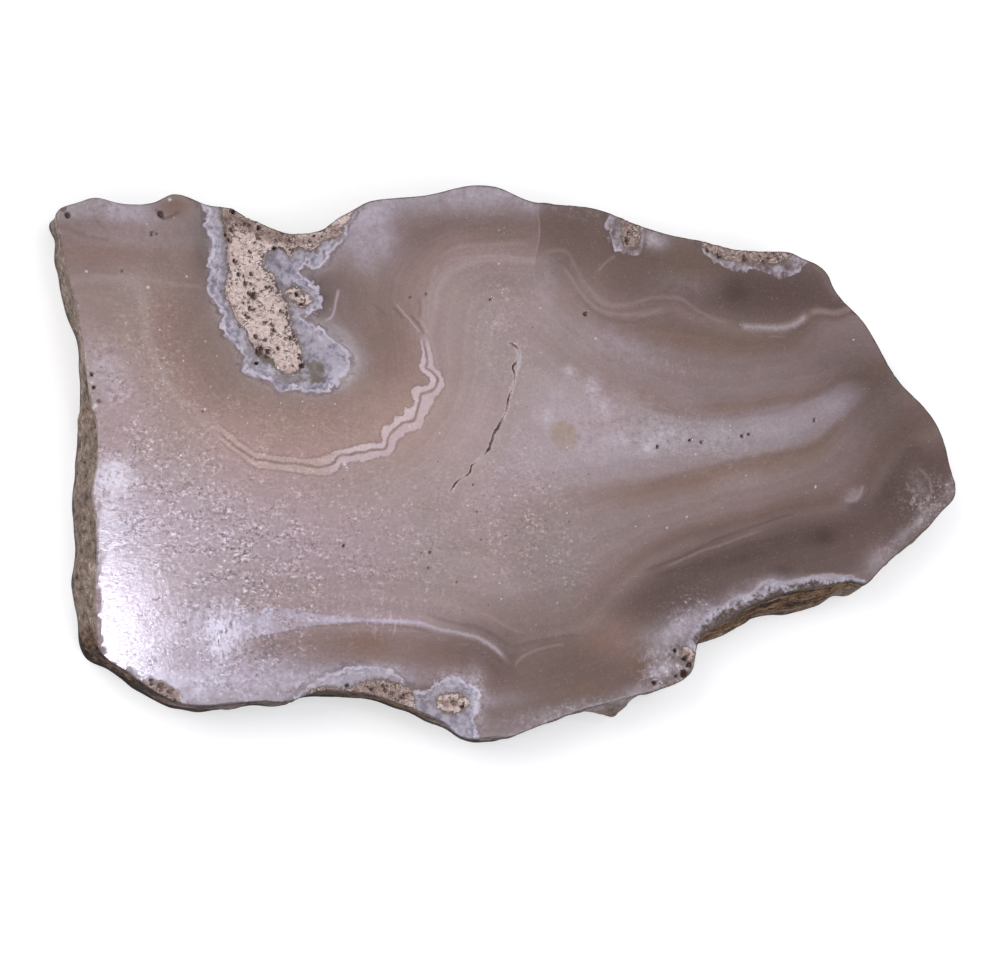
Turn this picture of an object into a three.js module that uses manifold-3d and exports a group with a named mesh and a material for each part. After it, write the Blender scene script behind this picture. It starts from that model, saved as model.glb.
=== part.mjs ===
// A slice of banded agate: one flat slab, sawn on both faces, with its natural
// rind left on the wall. Millimetres, +Z up. The slab lies on its back face, its
// long side runs along X, and the origin is under the middle of its box.

import * as THREE from 'three';
import { mergeVertices } from 'three/addons/utils/BufferGeometryUtils.js';
import { ImprovedNoise } from 'three/addons/math/ImprovedNoise.js';
import Module from 'manifold-3d';

const wasm = await Module();
wasm.setup();

// Driving dimensions

const THICKNESS = 7;            // between the two sawn faces
const RIM_VERTICES = 300;       // around the wall
const WALL_ROWS = 6;            // up the wall
const WALL_LUMP = 0.42;         // how far the rind swells and sinks
const LUMP_LENGTH = 4.6;        // size of one swelling of the rind
const PIT_LENGTH = 1.7;         // and of one small pit of it
const PIT_SHARE = 0.5;          // how deep a pit is beside a swelling
const FLARE_STARTS = 0.125;     // the flare is whole this share of the way down the wall
const LUMPS_START = 0.4;        // and the lumps are whole this share of the way down
const MATRIX_DEPTH = 0.35;      // the porous pocket lies this far under the sawn face
const CRACK_DEPTH = 1.1;
const CRACK_WIDTH = 0.34;
const CRACK_END = 0.25;         // how wide and deep it is at its ends, as a share of the middle
const PORE_OVAL = 0.8;          // a pore's width as a share of its length
const OVERSHOOT = 0.5;          // how far a cutter stands out of the face it cuts

// Edge of the sawn face, counted clockwise from the upper left corner

const RIM = [
  [-57.6, 27.5], [-54.8, 28.8], [-53.1, 29.5], [-49.5, 28.9], [-45.8, 29.3], [-43.4, 30.6], [-39.1, 29.4],
  [-35.8, 29.2], [-34.9, 28.4], [-33.3, 27.9], [-29.3, 26.6], [-24.8, 27.4], [-23.1, 28.9], [-21.2, 30.0],
  [-19.3, 31.2], [-16.3, 31.8], [-11.8, 32.5], [-7.2, 33.9], [-5.1, 34.2], [-2.8, 34.1], [-1.2, 33.5],
  [1.3, 32.6], [5.2, 32.4], [9.1, 32.3], [12.2, 31.6], [15.1, 30.6], [17.6, 29.9], [20.9, 29.3],
  [23.8, 29.0], [28.3, 28.2], [32.2, 28.2], [35.6, 28.3], [37.2, 27.6], [39.3, 26.9], [40.7, 25.7],
  [41.4, 23.9], [43.0, 22.1], [45.2, 20.1], [47.3, 16.9], [48.9, 14.1], [50.6, 11.9], [53.2, 9.6],
  [55.0, 7.4], [56.2, 4.7], [56.8, 1.9], [57.6, -0.6], [57.3, -2.3], [55.6, -3.9], [53.9, -5.9],
  [50.0, -9.1], [47.3, -11.5], [45.0, -13.6], [43.3, -13.1], [41.0, -13.7], [37.9, -14.3], [35.0, -14.9],
  [29.4, -17.0], [26.8, -18.7], [24.2, -20.0], [22.9, -21.4], [22.2, -25.0], [20.9, -26.3], [18.0, -27.5],
  [14.3, -28.5], [10.2, -29.6], [7.0, -30.6], [3.9, -31.8], [1.1, -32.9], [-1.2, -33.8], [-3.8, -33.9],
  [-6.6, -34.2], [-8.3, -33.5], [-9.3, -32.4], [-11.5, -31.5], [-14.5, -30.3], [-17.8, -29.3],
  [-21.8, -28.8], [-25.1, -28.9], [-28.8, -30.3], [-31.9, -30.3], [-35.2, -30.6], [-38.8, -31.0],
  [-41.8, -30.8], [-46.4, -28.5], [-48.8, -26.8], [-50.8, -25.6], [-51.7, -24.3], [-51.9, -21.3],
  [-52.1, -17.1], [-51.9, -12.4], [-52.3, -8.2], [-52.7, -6.1], [-52.1, -2.5], [-52.1, 1.1], [-53.0, 4.5],
  [-53.6, 7.9], [-54.1, 11.1], [-54.6, 13.5], [-55.0, 16.3], [-55.8, 19.2], [-56.8, 22.2], [-57.3, 25.0],
];

// Where the foot of the wall stands out from the edge above it, or draws in:
// a place on the edge, half the length along the edge, and the distance out

const FLARES = [
  { at: [-52.0, -12.5], reach: 17, out: 1.65 },
  { at: [-52.2, 0.2], reach: 7, out: 1.25 },
  { at: [-52.1, -24.0], reach: 6, out: 0.25 },
  { at: [-49.3, -26.5], reach: 3.5, out: -0.4 },
  { at: [-54.4, 12.8], reach: 5, out: -0.75 },
  { at: [-54.1, 10.6], reach: 6, out: -0.3 },
  { at: [-57.0, 23.5], reach: 5, out: -0.3 },
  { at: [-57.4, 25.3], reach: 3, out: -0.75 },
  { at: [36.0, -14.8], reach: 16, out: 2.05 },
  { at: [38.5, -14.2], reach: 5, out: 0.5 },
  { at: [25.8, -19.2], reach: 7, out: 1.25 },
  { at: [20.5, -26.0], reach: 8, out: -0.05 },
  { at: [15.6, -28.1], reach: 4.5, out: -0.4 },
  { at: [-8.0, -33.5], reach: 4, out: -1.5 },
  { at: [-14.3, -30.4], reach: 6.5, out: -0.7 },
  { at: [51.0, -8.0], reach: 10, out: 0.75 },
  { at: [46.5, 18.0], reach: 14, out: -0.6 },
  { at: [8.0, 32.4], reach: 18, out: 0.6 },
  { at: [-16.0, 31.8], reach: 12, out: -0.5 },
];

// Knobs of rind: a place on the edge, the height of the middle, the radius and the distance out

const KNOBS = [
  { at: [12.4, -29.0], height: 4.6, radius: 1.8, out: 2.2 },
  { at: [-34.5, -30.5], height: 3.0, radius: 1.7, out: 0.6 },
  { at: [-52.2, 3.0], height: 2.6, radius: 1.6, out: 0.7 },
  { at: [29.0, -17.2], height: 2.4, radius: 2.0, out: 0.8 },
  { at: [55.8, 5.5], height: 3.2, radius: 2.2, out: 0.8 },
  { at: [3.5, 32.5], height: 3.0, radius: 2.0, out: 0.7 },
  { at: [27.0, 28.4], height: 2.8, radius: 2.2, out: 0.6 },
];

// Edge of the porous pocket, a little inside the edge of the slab where the two meet

const MATRIX = [
  [-37.0, 28.2], [-37.0, 26.3], [-36.6, 24.8], [-36.8, 23.6], [-36.4, 22.0], [-36.8, 20.4], [-36.9, 18.9],
  [-36.1, 17.5], [-35.6, 15.9], [-34.4, 14.5], [-33.9, 13.1], [-33.0, 11.8], [-31.6, 11.2], [-30.6, 10.6],
  [-29.8, 9.6], [-28.3, 9.5], [-27.4, 10.6], [-27.8, 12.3], [-28.3, 14.0], [-29.1, 15.9], [-29.2, 17.5],
  [-30.1, 19.2], [-30.9, 20.6], [-31.9, 21.7], [-32.4, 23.0], [-31.5, 24.5], [-29.8, 24.6], [-28.9, 24.0],
  [-28.3, 24.9], [-26.8, 25.0], [-25.4, 25.6], [-26.5, 26.0], [-29.3, 25.8], [-31.8, 26.4], [-34.0, 27.2],
  [-35.6, 28.2],
];

// Centre line of the open crack, from its upper end

const CRACK = [
  [-1.4, 14.6], [-0.6, 14.3], [-0.1, 13.6], [-0.2, 12.5], [-0.9, 11.6], [-0.6, 10.4], [-1.0, 8.8],
  [-1.5, 7.5], [-1.7, 6.2], [-2.4, 4.7], [-3.3, 3.2], [-3.7, 1.9], [-4.2, 0.9], [-5.3, -0.2],
  [-6.1, -0.9], [-6.5, -1.9], [-7.9, -2.8], [-8.7, -4.1],
];

// Open pores in the sawn face, each as x, y, radius and depth

const PORES = [
  // in the pocket
  [-33.2, 18.7, 0.55, 1.3], [-35.6, 22.8, 0.35, 0.9], [-33.7, 24.1, 0.3, 0.8],
  [-33.6, 21.4, 0.3, 0.9], [-35.2, 21.2, 0.35, 0.9], [-34.3, 20.0, 0.35, 0.8],
  [-33.5, 20.1, 0.3, 0.8], [-31.7, 19.8, 0.3, 0.8], [-32.9, 27.1, 0.3, 0.8],
  [-33.7, 17.1, 0.4, 0.9], [-29.8, 17.0, 0.3, 0.8], [-30.7, 14.6, 0.35, 0.9],
  [-30.9, 15.3, 0.3, 0.7], [-33.0, 13.7, 0.35, 0.9], [-32.7, 11.8, 0.55, 1.2],
  [-31.5, 11.7, 0.5, 1.1], [-30.2, 12.4, 0.35, 0.8], [-33.0, 10.4, 0.3, 0.7],
  [-27.4, 10.4, 0.35, 0.8], [-28.6, 13.9, 0.35, 0.9], [-29.3, 13.6, 0.3, 0.7],
  [-30.9, 24.7, 0.3, 0.7], [-36.5, 25.3, 0.3, 0.8], [-37.0, 26.0, 0.3, 0.7],
  [-36.0, 28.8, 0.35, 0.8], [-36.1, 26.6, 0.3, 0.8],
  // in the island beside it
  [-28.0, 19.2, 0.35, 0.7], [-27.4, 18.0, 0.3, 0.5],
  // along the upper edge, on the right
  [14.4, 29.6, 0.5, 0.7], [14.0, 28.5, 0.4, 0.6], [26.2, 27.3, 0.45, 0.6], [29.5, 27.0, 0.4, 0.6],
  [32.2, 26.9, 0.4, 0.6], [24.6, 27.9, 0.35, 0.5],
  // along the lower edge
  [-45.2, -28.3, 0.45, 0.7], [-44.1, -28.8, 0.5, 0.8], [-43.0, -29.4, 0.4, 0.7], [-21.5, -28.1, 0.35, 0.6],
  [-18.5, -28.4, 0.4, 0.7], [-16.8, -28.5, 0.4, 0.7], [-14.7, -29.3, 0.4, 0.6], [-9.3, -29.9, 0.5, 0.8],
  [-8.1, -29.8, 0.55, 0.9], [-7.2, -30.2, 0.35, 0.6],
  // at the broken lower right corner
  [21.3, -23.5, 0.5, 0.9], [21.8, -24.4, 0.45, 0.8], [21.0, -25.4, 0.55, 0.9],
  [17.2, -26.7, 0.4, 0.6], [19.9, -22.6, 0.35, 0.6], [20.0, -25.8, 0.3, 0.6],
  // scattered over the bands
  [17.8, 2.6, 0.35, 0.5], [22.0, 3.6, 0.3, 0.5], [23.6, 3.5, 0.3, 0.5], [28.9, 4.5, 0.3, 0.5],
  [29.9, 4.8, 0.3, 0.5], [38.6, 7.0, 0.3, 0.5], [8.5, 18.8, 0.4, 0.5], [-3.7, 19.9, 0.25, 0.4],
  [-22.1, -11.3, 0.3, 0.4], [-11.4, -11.7, 0.25, 0.4], [-46.0, 25.6, 0.35, 0.4], [-56.2, 27.1, 0.5, 0.7],
  [-44.9, 28.0, 0.45, 0.6], [-53.0, 8.0, 0.35, 0.6], [-52.7, 6.5, 0.35, 0.6],
];

const STONE = new THREE.MeshStandardMaterial({
  name: 'banded agate',
  color: 0x93827d,
  roughness: 0.34,
  metalness: 0,
});

// Solids

function toSolid(geometry) {
  const bare = geometry.clone();
  bare.deleteAttribute('normal');
  bare.deleteAttribute('uv');
  const merged = mergeVertices(bare, 1e-4);
  return new wasm.Manifold(new wasm.Mesh({
    numProp: 3,
    vertProperties: new Float32Array(merged.attributes.position.array),
    triVerts: new Uint32Array(merged.index.array),
  }));
}

function toGeometry(solid) {
  const { vertProperties, triVerts } = solid.getMesh();
  const geometry = new THREE.BufferGeometry();
  geometry.setAttribute('position', new THREE.BufferAttribute(vertProperties, 3));
  geometry.setIndex(new THREE.BufferAttribute(triVerts, 1));
  const faceted = geometry.toNonIndexed();
  faceted.computeVertexNormals();
  return faceted;
}

// Joins rings of equal count into a closed body. The rings run counter-clockwise
// seen from the last one, and capFaces gives the triangles that close a ring.
function loftRings(rings, capFaces) {
  const count = rings[0].length;
  const last = (rings.length - 1) * count;
  const index = [];
  for (let row = 0; row < rings.length - 1; row += 1) {
    for (let i = 0; i < count; i += 1) {
      const a = row * count + i;
      const b = row * count + ((i + 1) % count);
      index.push(a, b, b + count, a, b + count, a + count);
    }
  }
  for (const [a, b, c] of capFaces(rings[0])) {
    index.push(a, c, b);
  }
  for (const [a, b, c] of capFaces(rings.at(-1))) {
    index.push(last + a, last + b, last + c);
  }
  const geometry = new THREE.BufferGeometry().setFromPoints(rings.flat());
  geometry.setIndex(index);
  return geometry;
}

function flatCap(ring) {
  return THREE.ShapeUtils.triangulateShape(ring.map(({ x, y }) => new THREE.Vector2(x, y)), []);
}

// A smooth closed run of evenly spaced points through a list, counter-clockwise
function smoothLoop(points, count) {
  const ends = points.map(([x, y]) => new THREE.Vector3(x, y, 0));
  const loop = new THREE.CatmullRomCurve3(ends, true).getSpacedPoints(count).slice(0, count);
  return THREE.ShapeUtils.isClockWise(loop) ? loop.reverse() : loop;
}

// The slab

const noise = new ImprovedNoise();
const rim = smoothLoop(RIM, RIM_VERTICES);
const spacing = new THREE.CatmullRomCurve3(rim, true).getLength() / RIM_VERTICES;

function nearestOnRim([x, y]) {
  const distances = rim.map((point) => Math.hypot(point.x - x, point.y - y));
  return distances.indexOf(Math.min(...distances));
}

function alongRim(i, j) {
  const steps = Math.abs(i - j);
  return Math.min(steps, RIM_VERTICES - steps) * spacing;
}

function outward(i) {
  const before = rim.at(i - 2);
  const after = rim[(i + 2) % RIM_VERTICES];
  return new THREE.Vector3(after.y - before.y, before.x - after.x, 0).normalize();
}

const flares = FLARES.map((flare) => ({ ...flare, index: nearestOnRim(flare.at) }));
const knobs = KNOBS.map((knob) => ({ ...knob, index: nearestOnRim(knob.at) }));

function wallOffset(i, z) {
  const down = 1 - z / THICKNESS;
  let out = 0;
  for (const { index, reach, out: size } of flares) {
    const near = Math.min(1, alongRim(i, index) / reach);
    out += size * Math.cos(near * Math.PI / 2) ** 2 * Math.sin(down * Math.PI / 2);
  }
  for (const { index, height, radius, out: size } of knobs) {
    out += size * Math.exp(-((alongRim(i, index) ** 2 + (z - height) ** 2) / radius ** 2));
  }
  const { x, y } = rim[i];
  const lump = noise.noise(x / LUMP_LENGTH, y / LUMP_LENGTH, z / LUMP_LENGTH);
  const pit = noise.noise(x / PIT_LENGTH, y / PIT_LENGTH, z / PIT_LENGTH);
  const relief = WALL_LUMP * (lump + PIT_SHARE * pit);
  return out * Math.min(1, down / FLARE_STARTS) + relief * Math.min(1, down / LUMPS_START);
}

function slabRing(z) {
  return rim.map((point, i) => {
    const moved = point.clone().addScaledVector(outward(i), wallOffset(i, z));
    return moved.setZ(z);
  });
}

function makeSlab() {
  const rings = [];
  for (let row = 0; row <= WALL_ROWS; row += 1) {
    rings.push(slabRing(THICKNESS * row / WALL_ROWS));
  }
  return toSolid(loftRings(rings, flatCap));
}

// What is cut into the upper face

function makePocketCutter() {
  const edge = smoothLoop(MATRIX, MATRIX.length * 2);
  const floor = THICKNESS - MATRIX_DEPTH;
  const low = edge.map((point) => point.clone().setZ(floor));
  const high = edge.map((point) => point.clone().setZ(THICKNESS + OVERSHOOT));
  return toSolid(loftRings([low, high], flatCap));
}

function makePoreCutter([x, y, radius, depth]) {
  const pore = new THREE.IcosahedronGeometry(1, 1);
  pore.scale(radius, radius * PORE_OVAL, depth);
  pore.rotateZ(x + y);
  pore.translate(x, y, THICKNESS);
  return toSolid(pore);
}

// A V groove along the crack, narrow and shallow at both ends
function makeCrackCutter() {
  const path = CRACK.map(([x, y]) => new THREE.Vector3(x, y, THICKNESS));
  const curve = new THREE.CatmullRomCurve3(path);
  const sections = 2 * CRACK.length;
  const rings = [];
  for (let i = 0; i <= sections; i += 1) {
    const along = i / sections;
    const open = CRACK_END + (1 - CRACK_END) * Math.sin(along * Math.PI);
    const centre = curve.getPointAt(along);
    const side = curve.getTangentAt(along).cross(new THREE.Vector3(0, 0, 1)).normalize();
    const half = 0.5 * CRACK_WIDTH * open * (1 + OVERSHOOT / CRACK_DEPTH);
    rings.push([
      centre.clone().addScaledVector(side, -half).setZ(THICKNESS + OVERSHOOT),
      centre.clone().addScaledVector(side, half).setZ(THICKNESS + OVERSHOOT),
      centre.clone().setZ(THICKNESS - CRACK_DEPTH * open),
    ]);
  }
  return toSolid(loftRings(rings, () => [[0, 1, 2]]));
}

function makeAgateSlice() {
  let slice = makeSlab();
  slice = slice.subtract(makePocketCutter());
  for (const pore of PORES) {
    slice = slice.subtract(makePoreCutter(pore));
  }
  slice = slice.subtract(makeCrackCutter());
  const mesh = new THREE.Mesh(toGeometry(slice), STONE);
  mesh.name = 'agate_slice';
  return mesh;
}

// Puts the origin under the middle of the box
function centre(mesh) {
  const box = new THREE.Box3().setFromObject(mesh);
  const middle = box.getCenter(new THREE.Vector3());
  mesh.geometry.translate(-middle.x, -middle.y, -box.min.z);
  return mesh;
}

const part = new THREE.Group();
part.add(centre(makeAgateSlice()));

export default part;
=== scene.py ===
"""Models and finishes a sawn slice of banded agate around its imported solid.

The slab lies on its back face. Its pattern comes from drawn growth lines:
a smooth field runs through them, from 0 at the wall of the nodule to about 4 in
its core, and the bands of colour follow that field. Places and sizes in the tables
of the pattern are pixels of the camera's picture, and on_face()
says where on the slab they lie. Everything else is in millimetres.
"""
import math

import bpy
import numpy as np
from bpy.props import FloatProperty, FloatVectorProperty, PointerProperty
from mathutils import Matrix, Vector
from mathutils import noise as stone_noise
from mathutils.bvhtree import BVHTree
from mathutils.kdtree import KDTree


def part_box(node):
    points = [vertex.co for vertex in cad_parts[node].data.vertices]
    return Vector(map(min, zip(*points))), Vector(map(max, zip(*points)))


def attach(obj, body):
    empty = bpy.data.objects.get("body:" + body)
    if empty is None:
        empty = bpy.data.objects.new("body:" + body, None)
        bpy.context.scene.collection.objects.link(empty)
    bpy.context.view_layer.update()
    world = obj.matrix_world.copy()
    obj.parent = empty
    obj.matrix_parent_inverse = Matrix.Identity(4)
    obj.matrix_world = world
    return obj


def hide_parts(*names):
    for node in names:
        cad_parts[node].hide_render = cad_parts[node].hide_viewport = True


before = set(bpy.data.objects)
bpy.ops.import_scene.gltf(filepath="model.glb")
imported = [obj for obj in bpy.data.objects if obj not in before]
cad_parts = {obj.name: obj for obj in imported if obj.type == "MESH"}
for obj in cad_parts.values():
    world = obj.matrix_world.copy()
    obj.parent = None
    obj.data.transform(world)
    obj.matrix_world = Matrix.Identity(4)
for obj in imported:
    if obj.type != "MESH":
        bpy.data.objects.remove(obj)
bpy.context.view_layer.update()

bl_info = {
    "name": "Agate slice",
    "version": (1, 0, 0),
    "blender": (4, 5, 0),
    "location": "View3D > Sidebar > Agate",
    "description": "Models, finishes and lights a sawn slice of banded agate",
    "category": "Object",
}

NODE = "agate_slice"
PIECE = "agate_slice_stone"
BODY = "root"
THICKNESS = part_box(NODE)[1].z
MM = 0.001
HEIGHT = THICKNESS / MM

# The camera's view, in pixels of its picture and in millimetres

IMAGE_SIZE = (1007, 961)
PIXELS_PER_MM = 8.2
PIXELS_PER_MM_UP = 8.0          # up the picture, where the slab is seen at a slant
VIEW_CENTRE = (-2.1139, -2.6022)  # of the picture, on the upper face
VIEW_OFFSET = (-126.0, -69.0)   # from there to the point below the camera
VIEW_DISTANCE = 450.0
SENSOR = 36.0

# The pattern, in pixels of the picture

# Closed outlines of its parts, each one area or more, as corners of smooth curves
OUTLINES = {
    # porous tan pockets
    "pocket": [
        [
            (222, 195), (222, 208), (224, 220), (226, 232), (229, 245), (227, 255), (230, 268), (228, 280),
            (226, 293), (231, 304), (236, 316), (240, 325), (248, 332), (250, 340), (254, 346), (258, 352),
            (262, 357), (268, 356), (275, 362), (277, 368), (283, 371), (290, 373), (298, 371), (302, 364),
            (300, 355), (298, 345), (296, 337), (292, 330), (289, 320), (288, 308), (284, 298), (279, 290),
            (275, 281), (270, 273), (264, 270), (263, 262), (264, 256), (270, 250), (277, 246), (284, 248),
            (290, 256), (293, 250), (300, 247), (308, 249), (313, 251), (317, 246), (322, 240), (330, 238),
            (338, 236), (342, 228), (347, 219), (350, 195),
        ],
        [
            (288, 291), (295, 287), (303, 293), (309, 298), (309, 304), (302, 306), (295, 302), (290, 297),
        ],
        [
            (622, 222), (626, 217), (637, 222), (639, 234), (637, 246), (626, 246), (622, 236),
        ],
        [
            (700, 232), (703, 244), (710, 251), (718, 255), (727, 258), (736, 260), (746, 262), (757, 262),
            (768, 264), (779, 262), (787, 258), (790, 245),
        ],
        [
            (140, 684), (148, 681), (158, 682), (170, 687), (178, 693), (178, 706), (165, 704),
        ],
        [
            (310, 696), (312, 691), (325, 688), (345, 689), (362, 683), (378, 680), (395, 683), (408, 688),
            (412, 697), (409, 708), (380, 703), (345, 697),
        ],
        [
            (682, 651), (688, 648), (694, 653), (693, 660), (687, 660), (682, 656),
        ],
        [
            (437, 703), (441, 697), (450, 694), (460, 695), (467, 700), (465, 707), (457, 711), (446, 711),
            (439, 708),
        ],
    ],
    # blue-white chalcedony around them
    "halo": [
        [
            (207, 195), (207, 210), (205, 222), (207, 233), (212, 243), (211, 252), (208, 262), (212, 272),
            (209, 281), (210, 291), (213, 301), (220, 309), (224, 316), (222, 328), (227, 338), (236, 344),
            (239, 351), (245, 357), (242, 364), (249, 371), (259, 378), (267, 380), (273, 384), (279, 391),
            (291, 388), (304, 391), (318, 392), (329, 391), (335, 384), (340, 377), (347, 374), (350, 367),
            (349, 359), (344, 352), (338, 345), (331, 338), (322, 331), (314, 325), (306, 320), (300, 315),
            (304, 312), (311, 313), (318, 309), (321, 301), (318, 291), (310, 281), (299, 272), (306, 266),
            (309, 260), (315, 267), (322, 266), (328, 262), (328, 256), (337, 247), (344, 238), (347, 226),
            (349, 195),
        ],
        [
            (611, 200), (611, 214), (608, 222), (610, 236), (614, 247), (621, 253), (631, 255), (640, 251),
            (644, 241), (643, 228), (642, 205),
        ],
        [
            (700, 232), (702, 246), (712, 258), (722, 266), (733, 270), (742, 270), (750, 268), (758, 270),
            (766, 272), (776, 272), (784, 277), (792, 276), (799, 271), (805, 264), (812, 257), (812, 245),
        ],
        [
            (296, 702), (298, 693), (306, 688), (318, 680), (332, 673), (348, 668), (366, 666), (384, 668),
            (396, 674), (404, 682), (412, 690), (424, 690), (433, 688), (440, 680), (452, 677), (464, 682),
            (474, 685), (478, 695), (477, 708), (474, 720), (478, 732), (474, 746), (440, 744), (400, 720),
            (345, 705),
        ],
    ],
    # the dark smoky field, sharp where a healed fracture cuts it
    "shadow_edge": [
        [
            (537, 180), (539, 206), (540, 221), (540, 236), (537, 248), (535, 262), (534, 300), (590, 300),
            (594, 270), (601, 262), (613, 252), (612, 240), (609, 228), (612, 213), (615, 180),
        ],
    ],
    # frosted crystals and broken stone on the lower edge
    "frost": [
        [
            (690, 650), (688, 644), (691, 635.5), (696.7, 624.4), (701, 618.9), (710, 611), (714, 608),
            (723, 605.6), (727.8, 601), (734, 600), (737.8, 596.7), (745.6, 595.6), (750, 591),
            (756.7, 590), (763, 591), (764, 584.4), (767.8, 581), (774.4, 582), (783, 583), (792, 582.7),
            (801, 578.9), (812, 575.6), (823, 575.6), (834.4, 576.7), (850, 575), (856.7, 577.8),
            (866, 580), (866, 592), (823, 602), (785, 612), (752, 622), (721, 640), (703, 655),
        ],
    ],
    # clear olive spots at the foot of the large pocket
    "olive": [
        [
            (309, 362), (318, 360), (325, 368), (323, 379), (313, 384), (307, 376),
        ],
        [
            (262, 356), (268, 354), (275, 360), (272, 366), (264, 364),
        ],
    ],
    # olive stone between the large pocket and its halo
    "edge_olive": [
        [
            (222, 214), (227, 225), (229, 240), (228, 252), (226, 240), (223, 228), (219, 214),
        ],
        [
            (274, 372), (286, 376), (300, 374), (306, 381), (296, 384), (284, 382), (276, 378),
        ],
    ],
    # the pale double seam
    "seam_band": [
        [
            (206, 412), (212, 418), (222, 426), (232, 434), (242, 443), (252, 450), (262, 454),
            (275, 455.5), (290, 457), (305, 458), (318, 457), (330, 453), (336, 450), (343, 449),
            (350, 447.5), (358, 445.5), (366, 443.5), (374, 443), (381, 443), (382, 439), (381, 433),
            (382, 428), (386, 425), (391, 424), (393, 420), (398, 416), (403, 415), (404, 411), (406, 408),
            (411, 407.5), (414, 403), (413, 399), (411, 393), (413, 388), (418, 385.5), (422, 387),
            (427, 385), (430, 382), (429, 378), (425, 374.5), (420, 370), (419, 365), (422, 355),
            (421, 345), (420, 334), (427, 337), (430, 345), (433, 355), (434, 366), (440, 371), (444, 380),
            (444, 388), (440, 393), (435, 399), (432, 406), (428, 413), (424, 420), (422, 427), (416, 430),
            (409, 432), (403, 436), (398, 440), (396, 446), (393, 452), (387, 456.5), (378, 457),
            (370, 459.5), (362, 461.5), (354, 461.5), (343, 464), (338, 470), (330, 475), (315, 475),
            (300, 473), (280, 470), (262, 469), (250, 464), (240, 455), (230, 448), (220, 441), (205, 434),
        ],
    ],
    # a milky wedge over the lowest seam
    "wedge": [
        [
            (236, 614), (255, 609), (275, 607), (300, 611), (320, 614), (345, 616.5), (372, 618),
            (400, 618.5), (425, 622), (430, 626), (400, 624), (372, 622.5), (345, 623), (320, 625),
            (300, 627.5), (290, 630), (275, 633), (256, 636.5), (240, 641), (232, 630),
        ],
    ],
    # a flat tan spot in the pale core
    "tan_spot": [
        [
            (551, 433), (554, 424), (562, 420), (571, 423), (577, 431), (577, 441), (571, 449), (563, 452),
            (556, 447), (551, 441),
        ],
    ],
}

# Where one growth line runs: its level, then points along it. 0 is the wall, 4 the core.
GROWTH_LINES = [
    (0, [
        (345, 221), (370, 201), (428, 195), (480, 186), (530, 201), (590, 207), (636, 224), (702, 241),
        (765, 251), (818, 265), (840, 297),
    ]),
    (0, [
        (206, 208), (205, 230), (209, 262), (208, 290), (219, 312), (222, 330), (238, 352), (245, 372),
        (272, 385), (300, 393), (330, 392), (350, 380), (360, 360), (350, 345), (333, 325), (322, 305),
        (312, 285), (325, 268), (340, 250), (348, 228),
    ]),
    (0, [
        (105, 657), (160, 694), (205, 706), (262, 701), (318, 691), (378, 696), (428, 716), (454, 733),
        (490, 737), (550, 720), (632, 696), (692, 669), (708, 630), (768, 599), (835, 584), (880, 567),
        (928, 525), (954, 499),
    ]),
    (0, [
        (60, 208), (94, 198), (145, 205), (174, 195), (205, 204),
    ]),
    (2, [
        (78, 275), (110, 277), (138, 281), (147, 295), (147, 320), (151, 340), (160, 365), (178, 395),
        (205, 422), (240, 449), (275, 465), (320, 466), (360, 455), (392, 434), (418, 404), (438, 380),
        (430, 360), (424, 335), (428, 300), (440, 270), (470, 259), (505, 256), (535, 258), (552, 255),
        (566, 262), (580, 280), (605, 303), (640, 309), (668, 303), (700, 314), (745, 325), (790, 325),
        (812, 311), (850, 308),
    ]),
    (2, [
        (225, 640), (255, 636), (290, 630), (320, 621), (380, 620), (430, 627), (480, 641), (505, 655),
        (530, 648), (560, 640), (590, 630), (610, 608), (630, 588), (655, 566), (690, 549), (740, 535),
        (790, 522), (830, 514), (862, 505), (882, 488), (895, 465), (910, 447), (938, 440),
    ]),
    (2.6, [
        (86, 318), (108, 347), (132, 374), (152, 402), (178, 436), (208, 462), (245, 484), (300, 492),
        (360, 482), (410, 458), (446, 420), (462, 380), (462, 330), (470, 295), (500, 285), (535, 290),
    ]),
    (2.65, [
        (545, 300), (580, 330), (610, 352), (660, 368), (720, 375), (780, 368), (830, 355), (872, 345),
    ]),
    (2.65, [
        (560, 580), (590, 560), (640, 530), (700, 510), (760, 495), (820, 478), (850, 455), (870, 425),
        (895, 398),
    ]),
    (3.1, [
        (540, 335), (570, 365), (600, 385), (650, 400), (700, 411), (750, 408), (800, 398), (840, 385),
        (878, 368),
    ]),
    (3.1, [
        (455, 548), (500, 535), (530, 515), (560, 502), (600, 493), (640, 488), (700, 476), (740, 465),
        (790, 452), (822, 442), (845, 418), (872, 388),
    ]),
    (3.1, [
        (500, 340), (500, 370), (492, 400), (482, 430), (465, 455), (445, 475), (425, 500),
    ]),
    (3.6, [
        (530, 375), (560, 400), (600, 420), (650, 440), (700, 440), (760, 432), (820, 412), (850, 395),
    ]),
    (3.6, [
        (515, 440), (520, 470), (560, 460), (600, 460),
    ]),
    (3, [
        (110, 500), (150, 520), (220, 545), (300, 550), (380, 545), (430, 540),
    ]),
    (2.5, [
        (250, 590), (310, 583), (380, 580), (440, 590), (500, 612), (540, 600),
    ]),
]

# The dark line along the middle of the seam, from its left end
SEAM = [
    (200, 424), (220, 434), (232, 444), (245, 453), (255, 459), (265, 461), (280, 463), (295, 464),
    (310, 466), (320, 467), (332, 464), (335, 461), (337, 457), (342, 455.5), (350, 455), (357, 452.5),
    (366, 452), (370, 449.5), (378, 449.5), (385, 449), (387, 445), (388, 439), (390, 434), (395, 429),
    (400, 425), (404, 422.5), (410, 422), (415, 419), (417, 412), (418.5, 406), (420, 400), (421, 394.5),
    (426, 392.5), (431, 391), (435, 387), (437.5, 381), (436, 376), (431, 371), (426, 368), (427, 362),
    (426, 352), (424, 343), (423, 333),
]

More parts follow.
